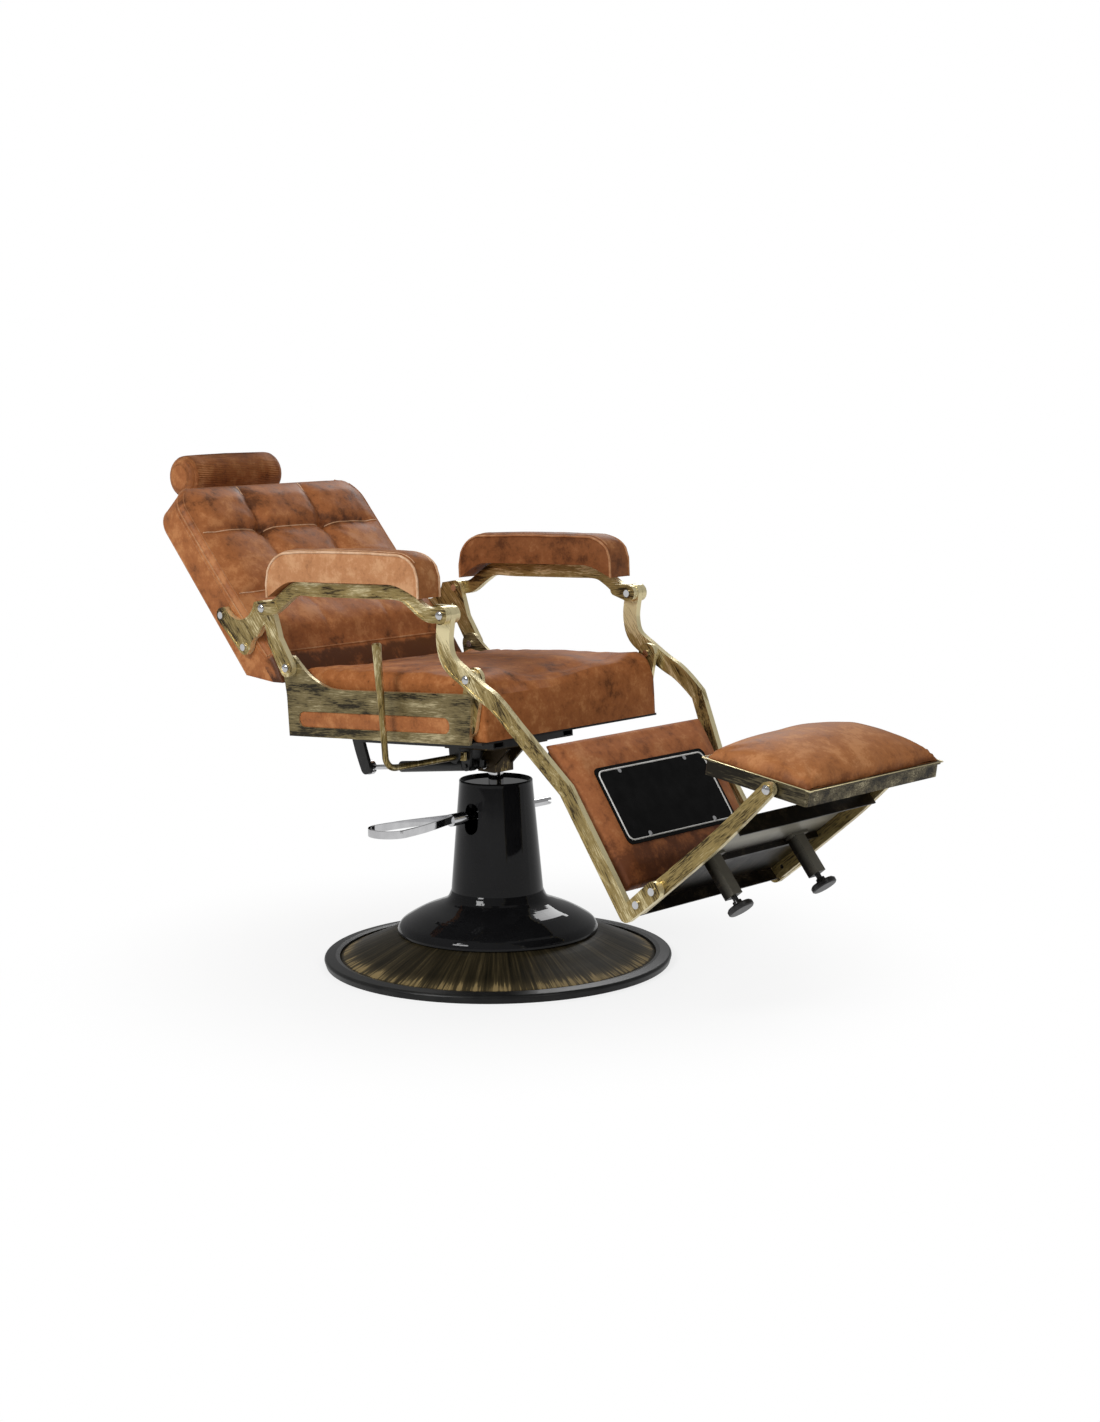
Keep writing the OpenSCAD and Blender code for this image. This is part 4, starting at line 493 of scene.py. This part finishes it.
def corded(name, runs, radius, place, cover=None):
    """Round cords laid along the runs of points, which are given in the place's own frame."""
    lay = bpy.data.curves.new(name, "CURVE")
    lay.dimensions = "3D"
    lay.bevel_depth, lay.bevel_resolution, lay.use_fill_caps = radius, 2, True
    for run in runs:
        line = lay.splines.new("POLY")
        line.points.add(len(run) - 1)
        for spot, at in zip(line.points, run):
            spot.co = (*(place @ Vector(at)), 1)
    made = bpy.data.objects.new(name, lay)
    bpy.context.scene.collection.objects.link(made)
    bpy.ops.object.select_all(action="DESELECT")
    made.select_set(True)
    bpy.context.view_layer.objects.active = made
    bpy.ops.object.convert(target="MESH")
    bpy.ops.object.shade_smooth()
    made = bpy.context.object
    made.data.materials.append(cover or cord_hide)
    return made


def sewn_to(pad, *cords):
    """The cords become part of the pad they are sewn to."""
    bpy.ops.object.select_all(action="DESELECT")
    for cord in cords:
        cord.select_set(True)
    pad.select_set(True)
    bpy.context.view_layer.objects.active = pad
    bpy.ops.object.join()


def paint_light_and_shade(pad, place, light_and_shade_at):
    """Mark the painted shade (below 0) and painted light (above 0) on the cover at each point, given in the place's
    own frame.
    """
    marks = pad.data.attributes.new("painted_light_and_shade", "FLOAT", "POINT")
    back_to = place.inverted()
    for point, mark in zip(pad.data.vertices, marks.data):
        mark.value = light_and_shade_at(*(back_to @ point.co))


def between(low, high, count):
    """This many numbers, spread evenly from low to high."""
    return [low + (high - low) * i / (count - 1) for i in range(count)]


seat_place = leaned(0, 0.458, seat_lean)
seat_rear, seat_front, seat_half, seat_low, seat_high = -0.288, 0.205, 0.2335, 0.0103, 0.122


def seat_fold(u, y):
    """Height of the slack cover's folds, which grow where people sit against the front edge."""
    front = seat_front - u
    sat_in = smooth(0.18, 0.04, front) * smooth(0.0, 0.014, front)
    return fold((u, y, 0.3), 8, 0.0048) + sat_in * (fold((u * 8 / 11, y, 0.02), 11, 0.018) - 0.005)


def seat_shape(a, b, c):
    u = seat_rear + (seat_front - seat_rear) * (a + 1) / 2
    y = seat_half * b
    rise = (c + 1) / 2
    front, rear, side = seat_front - u, u - seat_rear, seat_half - abs(y)
    crown, front_round, rear_round, side_round = 0.010, 0.034, 0.018, 0.014
    top = seat_high + crown * (1 - b ** 4) * math.sin(math.pi * (a + 1) / 2)
    for inset, radius in ((front, front_round), (rear, rear_round), (side, side_round)):
        top -= rolled(inset, radius)
    under = seat_low - 0.006 * smooth(0.1765, 0.1775, u)
    w = under + (top - under) * rise
    if c > outer:
        w += seat_fold(u, y) + fold((u * 2.2, y, 0.9), 22, 0.0016)
        crease = math.exp(-((front - 0.052 + 0.03 * b) / 0.014) ** 2) * smooth(0.9, 0.3, abs(b - 0.1))
        gather = smooth(0.26, 0.0, rear) * smooth(0.2, 0.0, side)
        w += 0.004 * gather * math.sin((u * 1.3 + abs(y)) * 95 + fold((u, y, 0), 12, 3)) - 0.0035 * crease
    elif a > outer:
        u += math.sin(math.pi * rise) * (0.004 * (1 - b ** 6) + fold((0.2, y, w), 14, 0.0016))
    return u, y, w


seat_pad = stuffed("seat_pad", 70, seat_shape, seat_place)
# Painted shade in the hollows of the seat's folds, painted light on their ridges.
paint_light_and_shade(seat_pad, seat_place, lambda u, y, w: 6 * seat_fold(u, y) * smooth(0.09, 0.12, w))
seat_pad.data.materials.append(seat_hide)
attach(seat_pad, "seat")
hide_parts("seat_cushion")


# ---------------------------------------------------------------- leather strips in the side panels
# A flat strip with round ends is let into each panel's slot.
# It is softly padded, so its face swells a little between the slot's edges.
def strip_cover(name, side):
    """The strip in the right panel (side is -1) or the left one (side is 1)."""
    bpy.ops.object.select_all(action="DESELECT")
    bpy.ops.mesh.primitive_grid_add(x_subdivisions=120, y_subdivisions=14, size=2)
    made = bpy.context.object
    made.name = made.data.name = name
    half_l, half_h, round_r = 0.2047, 0.0147, 0.0144
    slot_mid, slot_out, slot_high = -0.0755, 0.2472, 0.0335
    for point in made.data.vertices:
        a, b = point.co.x, point.co.y
        x = half_l * a
        inner = max(0.0, abs(x) - (half_l - round_r))
        z = b * half_h * math.sqrt(max(0.0, 1 - (inner / round_r) ** 2))
        puff = 0.0011 * (1 - b ** 4) * (1 - a ** 20) + fold((x, z, side), 40, 0.0002)
        point.co = seat_place @ Vector((slot_mid + x, side * (slot_out + puff), slot_high + z))
    bpy.ops.object.mode_set(mode="EDIT")
    bpy.ops.mesh.select_all(action="SELECT")
    bpy.ops.mesh.remove_doubles(threshold=0.00002)
    bpy.ops.mesh.normals_make_consistent(inside=False)
    bpy.ops.object.mode_set(mode="OBJECT")
    thick = made.modifiers.new("thickness", "SOLIDIFY")
    thick.thickness, thick.offset = 0.0012, 0
    bpy.ops.object.modifier_apply(modifier="thickness")
    bpy.ops.object.shade_smooth_by_angle(angle=math.radians(40))
    made.data.materials.append(strip_hide)
    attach(made, "seat")
    return made


strip_near = strip_cover("strip_cover_right", -1)
strip_far = strip_cover("strip_cover_left", 1)
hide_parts("side_strip_right")
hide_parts("side_strip_left")

# ---------------------------------------------------------------- back cushion
# Tufted leather over foam: nine puffed squares drawn down at four tufts, with sewn valleys
# up to the top edge, overhanging pleats across, and a cord round the front panel's edge.
back_place = leaned(-0.30257, 0.57274, back_lean)
back_half, back_top, back_low, back_bend = 0.25, 0.4875, 0.056, 0.065
tuft_rows, tuft_lines = (0.364, 0.208), (-0.083, 0.083)
shell_face, shell_foot, hem_x, hem_v = -0.0607, 0.0095, -0.040, -0.008
valley_deep, valley_wide, pleat_deep, pleat_over, pleat_under = 0.0150, 0.017, 0.0150, 0.010, 0.028
tuft_deep, tuft_wide = 0.0075, 0.015
cord_r, pleat_r, thread_r = 0.0019, 0.0011, 0.0007


def back_half_at(v):
    """Half the width of the back at this height: its upper corners are round."""
    return back_half - rolled(back_top - v, back_bend)


def back_seam(v):
    """How far forward the seam round the front panel lies."""
    t = min(1.0, max(0.0, (v - back_low) / (back_top - back_low)))
    return -0.042 + 0.012 * (1 - t) ** 3


def nearest_tuft(y, v):
    """How far this spot lies above and beside the nearest tuft."""
    return v - min(tuft_rows, key=lambda row: abs(v - row)), y - min(tuft_lines, key=lambda line: abs(y - line))


def quilting(y, v):
    """How deep the tufts, the sewn valleys and the pleats draw the cover in."""
    up, out = nearest_tuft(y, v)
    inset = back_half_at(v) - abs(y)
    valley = valley_deep * math.exp(-abs(out) / valley_wide + min(0.0, v - tuft_rows[1]) / 0.05)
    pleat = pleat_deep * math.exp(-abs(up) / (pleat_over if up > 0 else pleat_under)) * smooth(0.0, 0.05, inset)
    return valley + pleat + tuft_deep * math.exp(-(math.hypot(up, out) / tuft_wide) ** 2)


def back_front(y, v):
    """How far forward the front stands: full in the squares, and less at the quilting and towards the edges."""
    inset = back_half_at(v) - abs(y)
    side, end = smooth(0, 0.050, inset), smooth(0, 0.055, min(v - back_low + 0.006, back_top - v))
    up, out = nearest_tuft(y, v)
    rays = 0.0020 * math.exp(-math.hypot(up, out) / 0.035) * math.sin(math.atan2(up, out) * 11 + 4 * out)
    low_pleat = 0.0034 * math.exp(-abs(out + 0.12 * (v - 0.1)) / 0.006)
    low_pleat *= smooth(0.15, 0.10, v) * smooth(0.060, 0.075, v)
    full = 0.0125 + 0.0075 * smooth(0.01, 0.09, inset) + 0.0070 * math.exp(-((v - 0.118) / 0.040) ** 2)
    x = back_seam(v) + side * end * (full - quilting(y, v) + rays - low_pleat)
    x += side * end * (fold((y, v, 0.1), 13, 0.0028) + fold((y, v, 0.7), 34, 0.0010))
    return max(x - max(rolled(inset, 0.011), rolled(back_top - v, 0.020)), shell_face + 0.003)


def on_front(y, v, out):
    """The point of the cushion's front at y and v, moved out a little."""
    return back_front(y, v) + out, y, v


def back_shape(a, b, c):
    """The lower end turns in under the shell, as far as the hem, before it comes forward."""
    t, rise = (a + 1) / 2, (c + 1) / 2
    v = back_low + (back_top - back_low) * t
    y = back_half_at(v) * b
    x = back_front(y, v)
    if a < -outer:
        under = 0.3
        if rise < under:
            part = rise / under
            return shell_face + (hem_x - shell_face) * part, y, shell_foot + (hem_v - shell_foot) * part
        part = (rise - under) / (1 - under)
        return hem_x + (x - hem_x) * part + 0.003 * math.sin(math.pi * part), y, hem_v + (v - hem_v) * part
    return shell_face + (x - shell_face) * rise, y, v


back_pad = stuffed("back_pad", 104, back_shape, back_place)
# Painted shade in the tufts, valleys and pleats, towards the top and under the lower end, over a little painted light.
paint_light_and_shade(back_pad, back_place, lambda x, y, v: 0.09 - 8.5 * quilting(y, v) * smooth(-0.058, -0.050, x)
    - 1.1 * max(0.0, v - 0.30) - 0.30 * smooth(0.056, 0.040, v) - 0.12 * smooth(0.10, 0.058, v))
edge_cord, edge_thread, gusset_thread, thread_in = [], [], [], 0.009
rises = between(back_low, back_top - 0.002, 70)
for side in (-1, 1):
    edge_cord.append([(back_front(side * back_half_at(v), v) + 0.0006, side * (back_half_at(v) - 0.0005), v)
                      for v in rises])
    edge_thread.append([on_front(side * (back_half_at(v) - thread_in), v, 0.0002) for v in rises[:-3]])
    gusset_thread.append([(back_front(side * back_half_at(v), v) - 0.008, side * (back_half_at(v) + 0.0001), v)
                          for v in rises[:-3]])
foot_cord = [[on_front(y, back_low, 0.0004) for y in between(-0.2495, 0.2495, 60)]]
# The pale lines along the pleats and the sewn valleys are a painted highlight.
pleat_highlight_lines = [[on_front(y, row - 0.001, 0.0007) for y in between(low, high, 40)]
               for row in tuft_rows for low, high in ((-0.235, -0.093), (-0.073, 0.073), (0.093, 0.235))]
valley_highlight_lines = [[on_front(line, v, 0.0002) for v in between(0.376, back_top - 0.012, 24)] for line in tuft_lines]
top_cord = [[(back_front(y, back_top) + 0.0006, y, back_top - 0.0004) for y in between(-0.184, 0.184, 50)]]
back_pad.data.materials.append(tufted_hide)
sewn_to(back_pad, corded("edge_cord", edge_cord + foot_cord + top_cord, cord_r, back_place),
        corded("edge_thread", edge_thread + gusset_thread, thread_r, back_place),
        corded("pleat_highlight_edges", pleat_highlight_lines + valley_highlight_lines, pleat_r, back_place, cord_hide_painted_highlight))
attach(back_pad, "back")
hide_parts("back_cushion")

# The shell's own cover has a cord round its rear edge.
shell_rear, rear_out, rear_bend = -0.1140, 0.2492, 0.0642
rear_run = [(shell_rear, -rear_out, v) for v in between(0.067, 0.420, 40)]
rear_run += [(shell_rear, rear_bend - rear_out - rear_bend * math.cos(turn), 0.4225 + rear_bend * math.sin(turn))
             for turn in between(0.05, math.pi / 2, 14)]
rear_run += [(x, -y, v) for x, y, v in reversed(rear_run)]
rear_cord = corded("back_rear_cord", [rear_run], 0.0017, back_place)
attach(rear_cord, "back")


# ---------------------------------------------------------------- headrest
# A stuffed roll with a sewn cap at each end, on a flat post that slides in the back.
# A cord runs round each cap's seam, 33 mm in from the end.
roll_r, roll_long, seam_at = 0.042, 0.255, 0.094
bpy.ops.object.select_all(action="DESELECT")
bpy.ops.mesh.primitive_cylinder_add(vertices=72, radius=roll_r, depth=roll_long, end_fill_type="NGON")
head_pad = bpy.context.object
head_pad.name = head_pad.data.name = "head_pad"
bpy.ops.object.mode_set(mode="EDIT")
bpy.ops.mesh.select_all(action="SELECT")
bpy.ops.mesh.bevel(offset=0.021, segments=8, affect="EDGES")
bpy.ops.object.mode_set(mode="OBJECT")
bpy.context.view_layer.objects.active = head_pad
split = head_pad.modifiers.new("finer", "SUBSURF")
split.levels = split.render_levels = 1
bpy.ops.object.modifier_apply(modifier="finer")
roll_x, roll_v = -0.128, 0.575
head_place = back_place @ Matrix.Translation((roll_x, 0, roll_v)) @ Matrix.Rotation(math.radians(90), 4, "X")
for point in head_pad.data.vertices:
    x, y, z = point.co
    spin_r = math.hypot(x, y)
    if spin_r > 0.02:
        pinch = 0.045 * math.exp(-((abs(z) - seam_at) / 0.0032) ** 2)
        swell = 1 + fold((x, y, z), 22, 0.016) + 0.012 * smooth(0.09, 0.05, abs(z)) - pinch
        swell -= 0.010 * math.exp(-abs(abs(z) - seam_at) / 0.012) * (1 + math.sin(math.atan2(y, x) * 19))
        swell = min(swell, 1.02)
        point.co.x, point.co.y = x * swell, y * swell
    point.co = head_place @ point.co
for face in head_pad.data.polygons:
    face.use_smooth = True
head_pad.data.materials.append(back_hide)
ring_r = 0.0412
rings = [[(ring_r * math.cos(turn), ring_r * math.sin(turn), end) for turn in between(0, 2 * math.pi, 60)]
         for end in (-seam_at, seam_at)]
sewn_to(head_pad, corded("head_rings", rings, 0.0012, head_place))
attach(head_pad, "headrest")
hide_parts("headrest_roll")

# ---------------------------------------------------------------- arm pads
# Foam on a board, covered in one strip over the top and a flat panel on each side.
# The two are joined by a raised seam that runs up over the top and down both ends.
arm_place = leaned(-0.35360, 0.68576, 1.96)
pad_rear, pad_front, pad_out, pad_wide, end_crowding = 0.033, 0.446, 0.289, 0.056, 0.115


def under_pad(x):
    """Height of the arm bar's top edge along the arm."""
    height = 0.0537
    for inset, run, drop in ((x - pad_rear, 0.076, 0.031), (pad_front - x, 0.080, 0.024)):
        towards_end = max(0.0, 1 - max(0.0, inset) / run)
        height -= drop * (1 - math.cos(math.pi / 2 * towards_end) ** 1.1)
    return height


def over_pad(x):
    """Height of the arm pad's top along the arm."""
    top = 0.108 + 0.004 * math.sin(math.pi * (x - pad_rear) / (pad_front - pad_rear))
    for inset, radius, share in ((x - pad_rear, 0.062, 0.935), (pad_front - x, 0.058, 0.70)):
        top -= share * rolled(inset, radius)
    return max(top, under_pad(x) + 0.014)


def pad_shape(side):
    """The shape of the right pad (side is -1) or the left one (side is 1)."""
    def shape(a, b, c):
        x = pad_rear + (pad_front - pad_rear) * (a - end_crowding * math.sin(math.pi * a) + 1) / 2
        bottom, top = under_pad(x), over_pad(x)
        rise = (c + 1) / 2
        y = pad_out - pad_wide / 2 + pad_wide / 2 * b
        z = bottom + (top - bottom) * rise
        if c > outer:
            z += 0.0045 * (1 - b ** 2) - 0.002 * abs(b) ** 12 + fold((x, y, side), 22, 0.0012)
        elif abs(b) > outer:
            y += math.copysign(0.0012, b) * (math.sin(math.pi * rise) - 1)
        if abs(a) > outer:
            x += math.copysign(0.002, a) * math.sin(math.pi * rise) * (1 - b * b)
        return x, side * y, z
    return shape


for side, name, node in ((-1, "arm_pad_cover_right", "arm_pad_right"), (1, "arm_pad_cover_left", "arm_pad_left")):
    shape_at = pad_shape(side)
    arm_pad = stuffed(name, 60, shape_at, arm_place)
    bpy.ops.object.shade_smooth_by_angle(angle=math.radians(35))
    # The near pad's sides take the painted-light hide, its top and ends the darker painted-shade copy; the far pad is
    # painted shade.
    arm_pad.data.materials.append(arm_hide_painted_light if side < 0 else far_hide_painted_shade)
    arm_pad.data.materials.append(arm_top_hide_painted_shade if side < 0 else far_hide_painted_shade)
    for face in arm_pad.data.polygons:
        face.material_index = 1 if abs(face.normal.y) < 0.7 else 0
    seams, stitches = (-0.985, 0.985), (-0.74, 0.74)
    edge_runs = [[shape_at(a, seam, 1.0) for a in between(-1, 1, 90)] for seam in seams]
    edge_runs += [[shape_at(end, seam, c) for c in between(-1, 1, 12)] for seam in seams for end in (-1, 1)]
    top_runs = [[shape_at(a, line, 1.0) for a in between(-0.96, 0.96, 90)] for line in stitches]
    # The near pad's cords are pale, a painted highlight; the far pad's are plain.
    pad_cord_painted_light_near = cord_hide_painted_highlight if side < 0 else cord_hide
    sewn_to(arm_pad, corded("pad_cord", edge_runs, 0.0023, arm_place, pad_cord_painted_light_near),
            corded("pad_thread", top_runs, thread_r, arm_place, pad_cord_painted_light_near))
    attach(arm_pad, "arms")
    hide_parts(node)

# ---------------------------------------------------------------- calf pad
# A thin pad stapled round its board, with soft rolled edges all round.
# It narrows towards the foot and is flat in the middle under the plate.
leg_place = leaned(0.18332, 0.58944, leg_lean)
calf_face, calf_top, calf_long, calf_foot_half, calf_top_half = 0.0543, -0.174, 0.292, 0.190, 0.209


def calf_shape(a, b, c):
    t, rise = (a + 1) / 2, (c + 1) / 2
    v = calf_top - calf_long + calf_long * t
    half = calf_foot_half + (calf_top_half - calf_foot_half) * t
    y = half * b
    from_side, from_end = half - abs(y), min(t, 1 - t) * calf_long
    face = 0.013 + 0.011 * smooth(0, 0.042, from_side) * smooth(0, 0.048, from_end)
    face -= rolled(min(from_side, from_end), 0.010)
    if c > outer:
        face += fold((y, v, 0.5), 20, 0.0008)
    return calf_face + max(face, 0.003) * rise, y, v


calf_cover = stuffed("calf_cover", 60, calf_shape, leg_place)
# The calf pad's lower end is darker: painted shade.
paint_light_and_shade(calf_cover, leg_place, lambda x, y, v: -0.32 * smooth(-0.35, -0.45, v))
calf_cover.data.materials.append(calf_hide)
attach(calf_cover, "legrest")
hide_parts("calf_pad")

# ---------------------------------------------------------------- plate on the calf pad
# A pressed metal plate in black enamel that is a little uneven, held by four screws.
# A narrow white border line runs near its edge, and nothing else is on it.
plate_black = coat_of("plate enamel", (0.002, 0.002, 0.002), (0.007, 0.007, 0.007), 38, 0.12, 0.02, specular=0.10)
line_white = coat_of("border paint", (0.86, 0.85, 0.82), (0.55, 0.54, 0.51), 60, 0.35, 0.05)
dress(plate_black, "blank_plate")
plate_off, plate_mid, plate_half_w, plate_half_h = 0.0258, -0.3172, 0.1524, 0.0762
line_in, corner = 0.0075, 0.012
outline = [(calf_face + plate_off, sy * (plate_half_w - line_in - corner + corner * math.cos(turn)),
            plate_mid + sz * (plate_half_h - line_in - corner + corner * math.sin(turn)))
           for sy, sz, low, high in ((1, 1, 0, 1), (-1, 1, 1, 0), (-1, -1, 0, 1), (1, -1, 1, 0))
           for turn in between(low * math.pi / 2, high * math.pi / 2, 6)]
plate_border = corded("plate_border", [outline + outline[:1]], 0.0016, leg_place, line_white)
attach(plate_border, "legrest")

# ---------------------------------------------------------------- footrest cushion
# A full, soft cushion sewn to the tray: high in the middle, with its hem drawn down
# between the tacks so the lower edge swings in shallow scallops.
tray_place = leaned(0.81178, 0.45478, tray_lean)
dome_mid, dome_long, dome_wide, hem_z, rim_z, dome_full = -0.036, 0.2084, 0.3734, -0.0102, 0.017, 0.051
tacks_wide, tacks_long = 6, 4


def dome_shape(a, b, c):
    u, w = (a + 1) / 2, (b + 1) / 2
    rise = (c + 1) / 2
    pu, pw = 4 * u * (1 - u), 4 * w * (1 - w)
    top = rim_z + dome_full * pu ** 0.40 * pw ** 0.36
    z = hem_z + (top - hem_z) * rise
    pull_x = 1 - 0.016 * abs(a) ** 8 * (1 - math.cos(2 * math.pi * tacks_wide * w))
    pull_y = 1 - 0.010 * abs(b) ** 8 * (1 - math.cos(2 * math.pi * tacks_long * u))
    x, y = dome_mid + dome_long / 2 * a * pull_x, dome_wide / 2 * b * pull_y
    if c > outer:
        z += fold((x, y, 0.4), 15, 0.002) * min(1, pu * 3) * min(1, pw * 3)
        from_corner = math.hypot((1 - abs(a)) * dome_long / 2, (1 - abs(b)) * dome_wide / 2)
        round_corner = math.atan2((1 - abs(b)) * dome_wide, (1 - abs(a)) * dome_long + 0.0001)
        pucker = smooth(0.004, 0.018, from_corner) * math.exp(-from_corner / 0.030)
        z += 0.0055 * pucker * math.sin(11 * round_corner)
    return x, y, z


dome_cover = stuffed("dome_cover", 60, dome_shape, tray_place)
# The footrest cover is darker down by its hem, painted shade, and a little paler on top, painted light.
paint_light_and_shade(dome_cover, tray_place, lambda x, y, z: -0.22 * smooth(0.034, 0.014, z) + 0.05 * smooth(0.052, 0.064, z))
dome_cover.data.materials.append(dome_hide)
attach(dome_cover, "footrest")
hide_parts("footrest_dome")

# The tray's folded lip is rubbed to bare pale gold all round.
to_tray = tray_place.inverted()
wall = [to_tray @ point.co for point in cast["footrest_tray"].data.vertices]
lip_r = 0.0013
lip_x, lip_y, lip_z = ([min(point[i] for point in wall) + lip_r, max(point[i] for point in wall) - lip_r]
                       for i in range(3))
lip_gold = casting_of("rubbed lip gold", tray_lean, 0.30, edge=0.3)
lip_run = [(lip_x[i], lip_y[j], lip_z[1] + lip_r) for i, j in ((0, 0), (1, 0), (1, 1), (0, 1), (0, 0))]
tray_lip = corded("tray_lip", [lip_run], lip_r, tray_place, lip_gold)
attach(tray_lip, "footrest")
